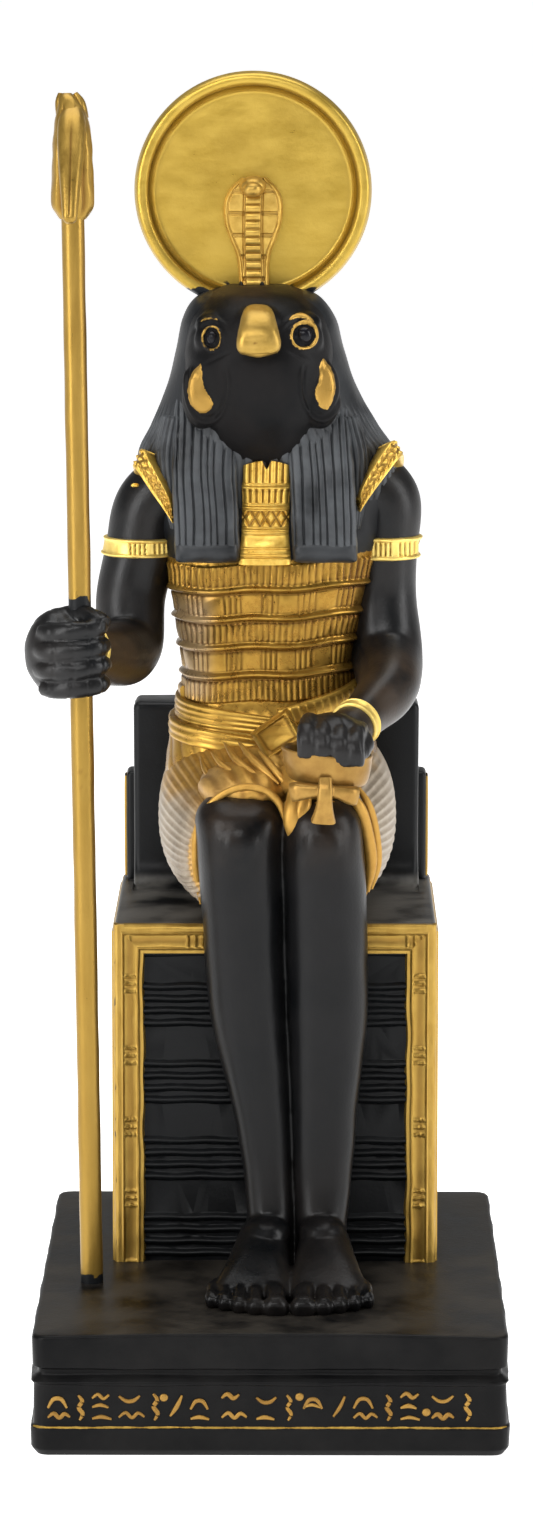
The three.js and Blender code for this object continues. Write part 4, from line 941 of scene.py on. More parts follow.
for row in range(4):
    along = x - 3.9 + 2.55 * row
    level = z - 0.45 * row
    left_parts.append(curled([[along + 0.7, y + 2.6, level + 2.9], [along + 0.3, y - 0.6, level + 2.7],
                              [along, y - 3.7, level + 1.7], [along, y - 4.9, level + 0.1],
                              [along, y - 4.6, level - 1.9]], 1.42))
left_parts.append(curled([[x + 4.8, y + 3.0, z + 0.6], [x + 5.4, y + 0.0, z - 0.4],
                          [x + 4.6, y - 2.6, z - 1.6], [x + 3.0, y - 4.0, z - 2.4],
                          [x + 1.2, y - 4.6, z - 2.8]], 1.3))
for name, parts in (("sceptre_arm", right_parts), ("lap_arm", left_parts)):
    arm = fused(name, parts, voxel=0.42, rounds=4)
    points, out = points_of(arm)
    hand = step(-points[:, 1], 12, 16)
    wrinkle = hump(np.mod(points[:, 0] * 0.9 + points[:, 1] * 0.4, 3.3), 1.6, 0.5) * hand
    move = 0.1 * ripple(points, 2.2) * hand + 0.07 * ripple(points, 6.0) - 0.13 * wrinkle
    points = points + out * move[:, None]
    move_points(arm, points)
    forearm = step(-points[:, 1], -16, -4) * (1 - hand)
    paint(arm, warm=0.75 * forearm + 0.15, hollow=0.0)
    thinned(arm, most=34000)
    settle(arm, painted_resin(name + "_resin", satin=0.34, black=(0.0026, 0.003, 0.0035),
                              pale=(0.0065, 0.0072, 0.0082), shine=0.24))

# The armlets and wristbands
# Gilt bands cast round each upper arm and wrist. An armlet has plain rims and two runs of upright flutes;
# the wristbands are plain.

bands = []


def band_round(stations, share0, share1, thick, flutes=(), level=False):
    """A band round an arm between two shares of its length: the arm's ovals grown by the thickness times
    the rounded height across the band. Flutes stand between pairs of places across, in millimetres."""
    rows = smooth_rows(body_rows(stations), 601)
    first, last = int(share0 * 600), int(share1 * 600)
    chosen = rows[np.linspace(first, last, 9).astype(int)]
    grid = loft(chosen, 46, 220, 2.0, along=(0, 0, -1) if level else None)
    t = np.linspace(0, 1, 46)[:, None]
    rim = np.maximum(hump(t, 0.1, 0.12), hump(t, 0.9, 0.12))
    body = step(t, 0, 0.06) * step(-t, -1, -0.94)
    window = 0 * grid[..., 0]
    for low, high in flutes:
        inside = step(grid[..., 0], low, low + 0.4) * step(-grid[..., 0], -high, -high + 0.4)
        window = np.maximum(window, inside)
    cut = np.exp(-(np.sin(grid[..., 0] * np.pi) / 0.5) ** 2) * window
    cut = cut * step(t, 0.16, 0.24) * step(-t, -0.84, -0.76)
    height = body * thick + rim * 0.3 - 0.4 * cut * body
    # Painted shade in the flutes.
    return tube(lifted(grid, height), gilt=1.0, hollow=cut * body * 0.9)


bands.append(band_round(RIGHT_ARM, 0.243, 0.302, 0.55, ((-30.4, -26.6), (-26.0, -20.0)), True))
bands.append(band_round(LEFT_ARM, 0.235, 0.298, 0.55, ((21.0, 25.6), (26.4, 33.0)), True))
bands.append(band_round(RIGHT_ARM, 0.885, 0.905, 0.3))
bands.append(band_round(LEFT_ARM, 0.885, 0.918, 0.25))
for band in bands[-2:]:
    band[2]["hollow"] = band[2]["hollow"] + 0.22
armlets = make_piece("armlets_and_wristbands", bands, crease=50, most=28000)
gild(armlets, "band_gold", gloss=0.36, gold=(0.72, 0.5, 0.12), bright=(0.85, 0.66, 0.2))

# The wig
# A smooth cap over the crown that breaks into fine locks below the cheeks: they fan over the shoulders and
# hang down the chest in two lappets, each bound by a plain rolled hem. Pale grey painted highlights lie on the
# raised strands and the hems.

CAP = ((0.6, 2.6, 52, 13, 5), (0.6, 1.8, 57, 17, 9), (0.6, 0.4, 66, 20.4, 11.4), (0.6, -1, 73, 20.6, 12),
       (0.4, -2.4, 78, 18, 12.2), (0.2, -3.2, 84, 15.2, 12.4), (0.2, -3.6, 90, 13.4, 12.4),
       (0.2, -3.8, 95, 12.2, 11.4), (0.2, -3.8, 98.6, 9.6, 9.2), (0.2, -3.8, 100, 5.0, 5.0),
       (0.2, -3.8, 100.4, 1.0, 1.0))
grid = loft(body_rows(CAP), 200, 430, 2.2, along=(0, 0, 1))
turn = np.linspace(0, 2 * np.pi, 430, endpoint=False)[None]
locks = 1 - np.exp(-(np.sin(turn * 34 + 0.35 * np.sin(grid[..., 2] * 0.22)) / 0.4) ** 2)
shown = step(-grid[..., 2], -208, -202)
grid = lifted(grid, (0.5 * locks - 0.35) * shown + 0.08 * ripple(grid, 4.0) * (1 - shown))
# Painted highlight: the raised strands below the cap take the tint, a pale grey, and the gaps stay dark.
wig_parts = [tube(grid, warm=shown * (0.15 + 0.85 * locks) * 0.9 + 0.06)]
for side in (-1, 1):
    middle, half = side * 9.3, 4.95
    rows = body_rows([[middle, -12.0, 58.2, half, 2.6], [middle, -12.2, 62, half, 2.9],
                      [middle, -12.4, 67, half, 2.9], [middle, -11.8, 71, half, 2.9],
                      [middle * 0.98, -10.8, 75, half, 2.8], [middle * 0.96, -9.8, 79, half * 0.97, 2.6],
                      [middle * 0.94, -8.4, 83, half * 0.9, 2.3]])
    grid = loft(rows, 120, 300, 4.5, along=(0, 0, 1))
    centre = grid.mean(1, keepdims=True)
    share = (grid[..., 0] - centre[..., 0]) / (half * SIT)
    bend = 0.16 * np.sin(grid[..., 2] * 0.3) + 0.2 * np.sin(grid[..., 2] * 0.13 + share * 5)
    bend = bend + 0.5 * np.sin(share * 7.0 + side) + 0.25 * ripple(grid, 9.0)
    locks = 1 - np.exp(-(np.cos(share * np.pi * 4.0 + bend) / 0.33) ** 2)
    grid = lifted(grid, 0.6 * locks - 0.3 + 0.12 * ripple(grid, 2.6))
    # Painted highlight on the raised strands of the lappet.
    wig_parts.append(tube(grid, warm=0.15 + 0.85 * locks))
    hem = body_rows([[middle, -11.6, 56.9, half * 0.9, 1.4], [middle, -11.7, 57.3, half * 1.02, 2.7],
                     [middle, -11.8, 58.2, half * 1.04, 3.3], [middle, -11.9, 59.3, half * 1.04, 3.3],
                     [middle, -12.0, 60.2, half * 1.01, 2.8], [middle, -12.0, 60.6, half * 0.9, 1.6]])
    grid = loft(hem, 40, 120, 4.5, along=(0, 0, 1))
    # Painted highlight on the rolled hem.
    wig_parts.append(tube(lifted(grid, 0.08 * ripple(grid, 2.0)), warm=0.4))
    outer = body_rows([[side * 13.9, -8.6, 62, 1.2, 2.4], [side * 14.1, -8.2, 68, 2.3, 3.2],
                       [side * 13.9, -7.8, 74, 3.2, 3.8], [side * 13.0, -8.2, 80, 2.6, 3.4]])
    grid = loft(outer, 100, 120, 2.2, along=(0, 0, 1))
    turn = np.linspace(0, 2 * np.pi, 120, endpoint=False)[None]
    locks = 1 - np.exp(-(np.sin(turn * 9 + 0.3 * np.sin(grid[..., 2] * 0.2)) / 0.4) ** 2)
    # Painted highlight on the raised strands of the outer locks.
    wig_parts.append(tube(lifted(grid, 0.5 * locks - 0.4), warm=0.15 + 0.85 * locks))
wig = make_piece("wig", wig_parts, crease=0, most=112000)
# The tint colour here is a pale blue-grey: the painted highlight of the locks.
settle(wig, painted_resin("wig_resin", satin=0.38, black=(0.003, 0.0034, 0.004),
                          pale=(0.0085, 0.0096, 0.0112), tint_and_sheen_colour=(0.051, 0.055, 0.0595), shine=0.24))

# The falcon face
# A short broad face under the cap, with a throat that runs down between the lappets. Its cheeks are low
# round lobes; gold is painted on in a ring round each eye, a brow above it and a drop on each cheek.

SKULL = ((0, -6.6, 63, 6.6, 4.2), (0, -7.2, 68, 6.4, 4.6), (0, -8.0, 72.5, 6.6, 4.8),
         (0, -9.4, 76, 7.8, 6.2), (0, -10.8, 80, 9.4, 7.4), (0, -10.9, 84, 10.8, 8.8),
         (0, -10.2, 88, 11.6, 10.2), (0.1, -9, 91, 11.7, 11), (0.2, -7.4, 95.6, 10.6, 10.6),
         (0.2, -5.6, 99, 8, 8.4), (0.2, -4.6, 100.4, 4.6, 5))
face_parts = [tube(loft(body_rows(SKULL), 90, 80, 2.1, along=(0, 0, 1)))]
for side in (-1, 1):
    face_parts.append(knob(on_body(side * 7.3 + 0.2, -15.0, 92.6), [2.9 * SIT, 2.3 * SIT, 3.2 * SIT], 22,
                           30))
    face_parts.append(knob(on_body(side * 6.6 + 0.2, -13.6, 95.0), [3.4 * SIT, 2.4 * SIT, 1.9 * SIT], 18,
                           26))
    face_parts.append(knob(on_body(side * 9.3 + 0.2, -13.9, 83.8), [3.3 * SIT, 2.9 * SIT, 5.6 * SIT], 26,
                           34))
face_parts.append(knob(on_body(0.2, -15.6, 94.6), [4.4 * SIT, 3.6 * SIT, 3.4 * SIT], 22, 30))
face = fused("falcon_face", face_parts, voxel=0.36, rounds=22)
points, out = points_of(face)
ahead = points[:, 1] < 14
EYES = ((-12.5, 221.9, 2.05, 2.55), (6.7, 222.5, 2.85, 2.9))
gilt = np.zeros(len(points))
move = np.zeros(len(points))
dark_gold = np.zeros(len(points))
for k, (ex, ez, rx, rz) in enumerate(EYES):
    reach = np.hypot((points[:, 0] - ex) / rx, (points[:, 2] - ez) / rz)
    band = hump(reach, 0.93, 0.2)
    gilt = np.maximum(gilt, step(band, 0.15, 0.6) * (0.56 if k == 0 else 0.66) * ahead)
    move += (0.42 * band - 0.4 * hump(reach, 0.7, 0.2) + 0.4 * hump(reach, 0, 0.62)) * ahead
    brow_x = points[:, 0] - ex + (0.4 if k == 0 else 0.6)
    brow_z = points[:, 2] - ez - 3.9 + 0.16 * brow_x ** 2 + (0.12 if k else -0.1) * brow_x
    arc = hump(brow_z, 0, 0.75 if k else 0.55) * hump(brow_x, 0, 4.0 if k else 3.0)
    gilt = np.maximum(gilt, step(arc, 0.15, 0.5) * (0.85 if k else 0.52) * ahead)
    move += 0.35 * hump(brow_z, 0, 0.9) * hump(brow_x, 0, 5.2) * ahead
    move -= 0.35 * hump(brow_z, -1.2, 0.7) * hump(brow_x, 0, 4.2) * ahead
    fold = points[:, 2] - ez + 4.6 + 0.5 * (points[:, 0] - ex) * (1 if k == 0 else -1) * -1
    move -= 0.25 * hump(fold, 0, 0.5) * hump(points[:, 0] - ex, 1.0 if k == 0 else -1.0, 3.6) * ahead
PATCH_UP = (206.0, 207.0, 208.0, 209.2, 210.6, 212.0, 213.5, 215.0, 216.8)
PATCHES = ((0.0, (-14.9, -16.5, -17.2, -17.7, -17.9, -17.8, -17.3, -16.4, -14.9),
            (-13.9, -12.5, -12.1, -12.4, -13.4, -14.1, -14.4, -14.3, -14.5)),
           (0.8, (10.8, 9.7, 9.2, 8.9, 9.0, 9.6, 9.8, 9.7, 10.4),
            (11.6, 12.4, 12.8, 13.2, 13.5, 13.4, 13.0, 12.2, 10.9)),)
for rise, lefts, rights in PATCHES:
    level = points[:, 2] - rise
    from_left = points[:, 0] - np.interp(level, PATCH_UP, lefts)
    from_right = np.interp(level, PATCH_UP, rights) - points[:, 0]
    from_ends = np.minimum(level - PATCH_UP[0], PATCH_UP[-1] - level)
    edge_in = np.minimum(np.minimum(from_left, from_right), from_ends) + 0.12 * ripple(points, 0.8)
    inside = step(edge_in, 0.0, 0.35) * (points[:, 1] < 20)
    gilt = np.maximum(gilt, inside)
    move += 0.3 * step(edge_in, 0.0, 0.8) * (points[:, 1] < 20)
    dark_gold += inside * 0.25
for side, lx, lz in ((-1, -13.6, 212.2), (1, 10.6, 212.8)):
    reach = np.hypot((points[:, 0] - lx) / 4.7, (points[:, 2] - lz) / 8.3)
    lobe_edge = 0.3 * hump(reach, 1.0, 0.09) - 0.18 * hump(reach, 0.86, 0.08)
    move += lobe_edge * step(-points[:, 2], -217, -214) * ahead
move += 0.05 * ripple(points, 3.0)
points = points + out * move[:, None]
move_points(face, points)
paint(face, gilt=gilt, hollow=dark_gold, warm=0.1 + 0.9 * step(points[:, 2], 227.5, 231))
thinned(face, most=62000)
settle(face, painted_resin("face_resin", satin=0.42, black=(0.0022, 0.0024, 0.0028),
                           pale=(0.005, 0.0055, 0.0065), gold=(0.34, 0.2, 0.042),
                           bright=(0.45, 0.275, 0.066), metal=0.6, shine=0.09))

# The eyeballs
# Two low domes in the eye rings, left black and polished brighter than the rest.

eye_parts = []
for ex, ez, rx, rz in EYES:
    nearest = (np.hypot(points[:, 0] - ex, points[:, 2] - ez) < 0.6) & (points[:, 1] < 12)
    surface = points[nearest, 1].min() if nearest.any() else 4.0
    eye_parts.append(knob([ex, surface + 1.0, ez], [rx * 0.6, 1.35, rz * 0.6], 30, 40))
eyes = make_piece("eyeballs", eye_parts, 0)
settle(eyes, painted_resin("eye_polish", black=(0.006, 0.006, 0.008), pale=(0.012, 0.012, 0.015), satin=0.2))

# The beak
# A blunt hooked bill, wider at the mouth than at the brow, cast with the face and painted gold.

BEAK = ((0.2, -14.5, 95.6, 2.3, 2.2), (0.2, -17, 95.8, 2.5, 2.4), (0.2, -19.4, 95.0, 2.85, 2.8),
        (0.2, -21.2, 93.6, 3.25, 2.7), (0.2, -22.3, 92.2, 3.5, 2.1), (0.2, -22.9, 91.2, 3.0, 1.3),
        (0.2, -23.1, 90.7, 1.7, 0.7), (0.2, -23.2, 90.4, 0.5, 0.3))
grid = loft(body_rows(BEAK), 80, 72, 2.7)
nostril = np.exp(-(((grid[..., 0] + 3.4) / 0.35) ** 2 + ((grid[..., 2] - 221.6) / 0.25) ** 2))
grid = lifted(grid, 0.05 * ripple(grid, 2.6) - 0.2 * nostril * (grid[..., 1] < 0))
# Painted shade under the beak and in the nostril pit.
under = step(-grid[..., 2], -220.6, -217.4)
beak = make_piece("beak", [tube(grid, gilt=1.0, hollow=np.clip(0.45 * under + 0.9 * nostril, 0, 1))], 0)
gild(beak, "beak_gold", gold=(0.31, 0.195, 0.04), bright=(0.43, 0.28, 0.068), gloss=0.36)

# The pectoral
# A gilt breast ornament between the lappets: a two-lobed top with upright reeds, a second row of reeds, a row
# of leaves, a flared smooth panel and a plain foot, with thin lines between them.

s, t = np.meshgrid(np.linspace(-1, 1, 170), np.linspace(0, 1, 260), indexing="ij")
level = 173.8 + t * 22.0
half = 5.0 + 0.15 * hump(level, 190, 2) + 0.5 * step(-level, -181, -174.5)
centre_x = -1.35 + 0.02 * (level - 184)
lobes = 0.75 * np.abs(s) ** 2 * step(level, 193.4, 195.8) + 1.1 * hump(s, 0, 0.2) * step(level, 193.4, 195.8)
x = centre_x + s * half
z = level - lobes * 1.6
dome = np.sqrt(np.clip(1 - (np.abs(s) ** 5), 0, 1))
height = 0.9 * dome
# Painted shade in the grooves between the reeds, the leaves and the lines.
painted_shade = np.zeros_like(s)
for foot, top, count in ((190.9, 195.8, 7.0), (186.7, 189.6, 7.5)):
    inside = step(level, foot, foot + 0.3) * step(-level, -top - 0.4, -top)
    reeds = np.abs(np.cos(s * np.pi * count / 2))
    height += inside * (0.45 * reeds - 0.15)
    painted_shade += inside * (1 - reeds) ** 1.5
for middle in (190.1, 185.9, 181.1):
    height += 0.5 * hump(level, middle, 0.5)
    painted_shade += 0.5 * hump(level, middle - 0.7, 0.35) + 0.4 * hump(level, middle + 0.7, 0.35)
inside = step(level, 181.8, 182.0) * step(-level, -185.3, -185.0)
leaf = np.abs(np.mod(s * 4.5 + (level - 182) * 0.55, 2.0) - 1.0)
leaf2 = np.abs(np.mod(s * 4.5 - (level - 182) * 0.55, 2.0) - 1.0)
weave = np.minimum(leaf, leaf2)
height += inside * (0.5 * step(weave, 0.1, 0.6) - 0.2)
painted_shade += inside * (1 - step(weave, 0.02, 0.35))
height -= 0.35 * hump(level, 179.2, 1.6) * (1 - np.abs(s)) - 0.25 * hump(level, 180.4, 0.5)
for middle in (177.3, 175.9):
    height += 0.35 * hump(level, middle, 0.35)
    painted_shade += 0.6 * hump(level, middle - 0.5, 0.25)
height += 0.35 * step(-level, -175.4, -175.0)
y = 7.6 - 0.1 + 0.03 * (level - 174) - height - 0.9 * (1 - s * s)
front = np.stack([x, y, z], -1)
back = np.stack([x * 0.98 + centre_x * 0.02, np.full_like(x, 11.5), z], -1)
pectoral = make_piece("pectoral", [turned_slab(front, back, gilt=1.0,
                                        hollow=np.clip(painted_shade, 0, 1) * 0.95)], crease=70, most=46000)
gild(pectoral, "pectoral_gold", gloss=0.3, gold=(0.5, 0.29, 0.045))

# The collar
# The two ends of a broad bead collar that show between the wig and the shoulders: a pricked inner strip and
# a plain outer edge, gilt.

collar_parts = []
COLLAR_ENDS = ((((-20.9, 8.0, 184.9), (-21.4, 8.2, 187.8), (-23.7, 9.4, 192.4), (-26.6, 12.6, 197.2),
                 (-27.0, 17, 196.6), (-26.8, 22, 194.2)),
                ((-20.8, 8.0, 182.4), (-22.6, 8.6, 185.2), (-25.5, 10.4, 189.2), (-28.5, 13.0, 193.2),
                 (-29.0, 17, 192.8), (-28.8, 22, 190.8))),
               (((18.4, 7.8, 187.4), (18.8, 8.2, 189.8), (21.4, 9.8, 194.7), (24.6, 13.0, 199.0),
                 (25.4, 18, 198.2), (25.4, 23, 195.8)),
                ((18.5, 7.8, 184.8), (20.4, 8.2, 187.7), (23.4, 10.0, 191.7), (26.6, 13.2, 195.5),
                 (27.4, 18, 194.8), (27.4, 23, 192.6))),)
for inner, outer in COLLAR_ENDS:
    inner = smooth_rows(inner, 170)[:, None]
    outer = smooth_rows(outer, 170)[:, None]
    t = np.linspace(0, 1, 48)[None, :, None]
    sheet = inner + (outer - inner) * t
    up = np.cross(np.gradient(sheet, axis=1), np.gradient(sheet, axis=0))
    up /= np.linalg.norm(up, axis=2, keepdims=True)
    flip = np.sum(up[20, 20] * (0, -1, 0.3)) < 0
    up = -up if flip else up
    across = t[..., 0] + 0 * sheet[..., 0]
    run = np.linspace(0, 26, 170)[:, None] + 0 * across
    cells = hump(np.mod(run + 0.6 * np.sin(across * 9), 1.6), 0.8, 0.62)
    cells = cells * hump(np.mod(across * 3.3, 1.0), 0.5, 0.42)
    pricked = step(-across, -0.84, -0.78) * step(across, 0.06, 0.12)
    rise = 0.8 * step(np.minimum(across, 1 - across), 0, 0.05)
    rise = rise + pricked * (0.45 * cells - 0.25 + 0.15 * ripple(sheet, 0.7))
    front = sheet + up * rise[..., None]
    back = sheet - up * 3.2
    # Painted shade between the raised cells.
    hollow = pricked * (1 - step(cells, 0.05, 0.4)) * 0.75
    if flip:
        front, back, hollow = front.transpose(1, 0, 2), back.transpose(1, 0, 2), hollow.T
    collar_parts.append(slab(front, back, gilt=1.0, hollow=hollow))
collar_parts.append(knob(on_body(-20.6, -4.9, 68.4), [0.9, 0.5, 0.45]))
collar_parts[-1][2]["gilt"] = np.ones(len(collar_parts[-1][0]))
collar = make_piece("collar_ends", collar_parts, crease=0, most=16000)
gild(collar, "collar_gold", gloss=0.3)

# The sun disc
# A thick round plate that stands on edge in the crown: a rolled outer rim, a groove, a thin inner ridge and a
# field that swells a little. Gold, brushed level across the field, with black left round its foot.

DISC_MIDDLE = (-4.1, 22.6, 251.55)
DISC_RADIUS = 25.1
FIELD_RADIUS = 21.4
RIM_MIDDLE = 23.45
RIM_HALF = 1.66
count_r, count_a = 62, 190
r = np.linspace(0.02, 1, count_r) ** 0.85 * DISC_RADIUS
profile = 1.35 + 0.75 * (1 - (r / FIELD_RADIUS) ** 2) * (r < FIELD_RADIUS)
rim = np.sqrt(np.clip(1 - ((r - RIM_MIDDLE) / RIM_HALF) ** 2, 0, 1))
profile = np.where(r > 22.0, 1.2 + 1.9 * rim, profile)
profile += 0.75 * hump(r, 21.3, 0.55)
turn = np.linspace(0, 2 * np.pi, count_a, endpoint=False)
rad = np.concatenate([r, r[::-1]])
dep = np.concatenate([-profile, profile[::-1]])
dep[count_r - 1] = dep[count_r] = 0
dep[count_r - 2] *= 0.75
dep[count_r + 1] *= 0.75
grid = np.stack([DISC_MIDDLE[0] + rad[:, None] * np.cos(turn), DISC_MIDDLE[1] + dep[:, None] + 0 * turn,
                 DISC_MIDDLE[2] + rad[:, None] * np.sin(turn)], -1)
grid[..., 1] += 0.12 * ripple(grid, 6.0)
groove = hump(rad, 22.25, 0.7)[:, None] + 0 * turn
foot = step(-grid[..., 2] - 0.35 * ripple(grid, 1.6) * 2.0, -231.6, -230.2)
foot = np.maximum(foot, step(-(grid[..., 2] - 0.55 * (grid[..., 0] + 12)) + ripple(grid, 1.2), -231.6,
                             -229.6) * (grid[..., 0] < -9) * (grid[..., 2] < 238))
# Painted shade in the groove outside the inner ridge and in a ring inside it.
hollow = 0.22 * groove + 0.15 * hump(rad, 20.4, 1.0)[:, None]
disc = make_piece("sun_disc", [tube(grid, gilt=1 - foot, hollow=hollow)], 60)
gild(disc, "disc_gold", brush=(0.3, 1, 0.75), gloss=0.31, metal=0.7, gold=(0.375, 0.245, 0.037),
     bright=(0.46, 0.315, 0.06))

# The cobra
# A reared cobra in front of the disc: a wide hood with a raised edge, a ladder of belly scutes up its middle
# and a few broad cells beside them, and a small round head.

s, t = np.meshgrid(np.linspace(-1, 1, 150), np.linspace(0, 1, 300), indexing="ij")
level = 230.2 + t * 24.2
shape_z = np.array([230.2, 233, 236, 238.5, 241.5, 244.5, 247.5, 250, 252.2, 253.6, 254.4])
shape_w = np.array([3.2, 3.2, 3.3, 3.7, 4.9, 6.0, 6.35, 6.1, 5.0, 3.6, 2.2])
half = np.interp(level, shape_z, shape_w)
half = (half + np.interp(level - 0.7, shape_z, shape_w) + np.interp(level + 0.7, shape_z, shape_w)) / 3
x = -3.95 + 0.15 * np.sin(level * 0.2) + s * half
place = np.abs(s) * half
edge = half - place
ladder = step(-place, -1.75, -1.5)
scute = np.abs(np.sin((level - 230) * np.pi / 1.72)) ** 0.5
cells_up = np.abs(np.sin((level - 233.2) * np.pi / 4.6))
height = 1.25 * np.sqrt(np.clip(1 - s ** 4, 0, 1)) + ladder * (0.55 + 0.5 * scute)
cells = (1 - ladder) * step(edge, 0.9, 1.2) * 0.3 * step(cells_up, 0.12, 0.4)
height += 0.45 * hump(edge, 0.55, 0.5) + cells
height += (1 - ladder) * 0.22 * (-hump(place, 1.95, 0.35))
height += 0.22 * hump(s, 0, 0.5) * hump(level, 246, 9)
# Painted shade between the scutes, between the cells, beside the ladder and inside the raised edge.
gaps = (1 - ladder) * step(edge, 0.9, 1.1) * (1 - step(cells_up, 0.05, 0.3)) * 0.85
hollow = ladder * (1 - scute) ** 1.2 + gaps
hollow = np.clip(hollow + 0.75 * hump(place, 1.95, 0.35) + 0.5 * hump(edge, 1.15, 0.3), 0, 1)
y = 18.2 - 0.02 * (level - 240) - height + 1.0 * hump(level, 236, 6)
front = np.stack([x, y, level], -1)
back = np.stack([x, np.full_like(x, 20.4), level], -1)
black_foot = step(-level - 0.9 * np.sin(s * 9) * 0.8, -232.6, -231.4) * step(np.abs(s + 0.1), 0.28, 0.5)
snake = [turned_slab(front, back, gilt=1 - black_foot, hollow=hollow * 0.55)]
for middle, size in (((-4.1, 16.2, 252.7), (2.9, 3.0, 2.2)), ((-4.1, 14.2, 252.2), (2.1, 2.2, 1.6))):
    part = knob(middle, size, 24, 32)
    part[2]["gilt"] = np.ones(len(part[0]))
    part[2]["hollow"] = np.full(len(part[0]), 0.3)
    snake.append(part)
cobra = make_piece("cobra", snake, crease=70, most=48000)
gild(cobra, "cobra_gold", gloss=0.3, gold=(0.4, 0.24, 0.045), bright=(0.55, 0.36, 0.085))

# The looped cross
# The sign held in the lap hand: its loop lies round the fist like a shallow bowl, and two arms and a stem
# come forward over the knee. Cast with the hand, gilt thinly so that brown shows through.

lx, ly, lz = 8.7, -32.8, 27.6
band_rows = body_rows([[lx + 0.2, ly + 0.4, lz - 3.0, 4.6, 4.4], [lx + 0.1, ly + 0.2, lz - 2.2, 6.0, 5.6],
                       [lx, ly, lz - 0.4, 6.7, 6.3], [lx, ly, lz + 1.6, 7.0, 6.6],
                       [lx, ly, lz + 2.3, 7.15, 6.7], [lx, ly, lz + 2.5, 6.9, 6.4],
                       [lx, ly, lz + 2.2, 6.5, 6.0], [lx, ly, lz + 1.0, 6.1, 5.6]])
grid = loft(band_rows, 120, 150, 2.0, along=(0, 0, 1))
grid[..., 2] -= 0.10 * (grid[..., 0] - 10.0)
grid = lifted(grid, 0.1 * ripple(grid, 3.0))
cross_parts = [tube(grid, gilt=1.0, hollow=0.28 + 0.15 * ripple(grid, 3.0))]
for side, drop, tip in ((-1, 0.2, 5.4), (1, -0.4, 4.4)):
    rows = body_rows([[lx + side * 0.3, ly - 5.9, lz - 3.0, 1.1, 0.8],
                      [lx + side * tip * 0.45, ly - 5.8, lz - 3.2 + drop / 2, 1.1, 1.1],
                      [lx + side * tip * 0.8, ly - 5.2, lz - 3.5 + drop, 1.2, 1.45],
                      [lx + side * tip, ly - 4.6, lz - 3.7 + drop, 0.9, 1.5]])
    cross_parts.append(tube(loft(rows, 50, 40, 3.0, across=(0, 1, 0)), gilt=1.0, hollow=0.1))
rows = body_rows([[lx - 0.3, ly - 6.0, lz - 1.2, 1.0, 0.9], [lx - 0.3, ly - 6.7, lz - 2.8, 1.15, 1.1],
                  [lx - 0.4, ly - 6.8, lz - 4.6, 1.2, 1.1], [lx - 0.5, ly - 6.4, lz - 6.4, 1.5, 1.1],
                  [lx - 0.6, ly - 5.8, lz - 7.8, 1.9, 1.1]])
cross_parts.append(tube(loft(rows, 70, 40, 4.0), gilt=1.0, hollow=0.05))
cross_parts.append(knob(on_body(lx - 0.3, ly - 6.6, lz - 3.0), [1.6 * SIT, 0.9 * SIT, 1.3 * SIT]))
cross_parts[-1][2]["gilt"] = np.ones(len(cross_parts[-1][0]))
cross = make_piece("looped_cross", cross_parts, crease=60, most=20000)
gild(cross, "cross_gold", gold=(0.24, 0.13, 0.03), bright=(0.37, 0.22, 0.055), metal=0.6, gloss=0.32,
     deep=(0.09, 0.042, 0.012))

# The sceptre
# A separate cast rod, gilt, that drops through the one fist into a hole in the plinth. Its head is an
# animal's with a long snout bent forward and a crest, with painted shade in its furrows.

SCEPTRE_LENGTH = 254.0
STAFF_RADIUS = 2.38
SOCKET_DEPTH = 6.0
HEAD_HEIGHT = 25.0
HEAD_REACH = 15.0
foot = np.array([-37.7, -18.904, PLINTH_HEIGHT])
grip = np.array(on_body(*GRIP))
up = grip - foot
up /= np.linalg.norm(up)
start = foot + up * (0.3 - SOCKET_DEPTH)
length = SCEPTRE_LENGTH - 12.5
path = start + up * np.linspace(0, length, 60)[:, None]
wide = np.full((60, 1), STAFF_RADIUS)
rows = np.column_stack([path, wide, wide])
grid = loft(rows, 300, 30, 2.0)
run = np.linspace(0, length, 300)[:, None] + 0 * grid[..., 0]
grid = lifted(grid, 0.06 * ripple(grid, 7.0, 1.0) - 0.03)
near_hand = grid[..., 2]
black_part = step(near_hand, 163.5, 166) * step(-near_hand - 1.3 * ripple(grid, 1.4), -171.2, -169.6)
black_part = np.maximum(black_part, step(-near_hand - 0.8 * ripple(grid, 0.9), -27.6, -26.2))
# Painted shade down the +X side of the rod.
side_shade = step(grid[..., 0] - (start[0] + up[0] * run), 1.3, 2.3) * 0.35
speck = step(ripple(grid, 0.55, 3.0), 0.62, 0.75) * hump(grid[..., 2], 131.5, 3.5)
staff = [tube(grid, gilt=1 - black_part, hollow=np.clip(0.12 + side_shade + speck, 0, 1))]
hx, hy, hz = start + up * (SCEPTRE_LENGTH - HEAD_HEIGHT)


def head_up(share):
    return hz + HEAD_HEIGHT * share


def head_out(share):
    return hy - HEAD_REACH * share


crown_rows = [[hx, head_out(-0.04), head_up(-0.02), 2.7, 2.6],
              [hx, head_out(-0.04), head_up(0.02), 3.4, 3.0], [hx, head_out(-0.02), head_up(0.1), 4.4, 3.6],
              [hx, head_out(0), head_up(0.24), 4.35, 4.0], [hx, head_out(0.02), head_up(0.42), 4.2, 4.2],
              [hx, head_out(0.02), head_up(0.6), 4.0, 4.2], [hx - 0.1, head_out(-0.02), head_up(0.76), 3.5,
                                                             3.8],
              [hx - 0.4, head_out(-0.08), head_up(0.88), 2.7, 3.0],
              [hx - 0.9, head_out(-0.12), head_up(0.96), 1.8, 2.0],
              [hx - 1.2, head_out(-0.14), head_up(1.0), 0.9, 1.0]]
grid = loft(crown_rows, 84, 60, 2.2, along=(0, 0, 1))
turn = np.linspace(0, 2 * np.pi, 60, endpoint=False)[None]
share = np.linspace(0, 1, 84)[:, None]
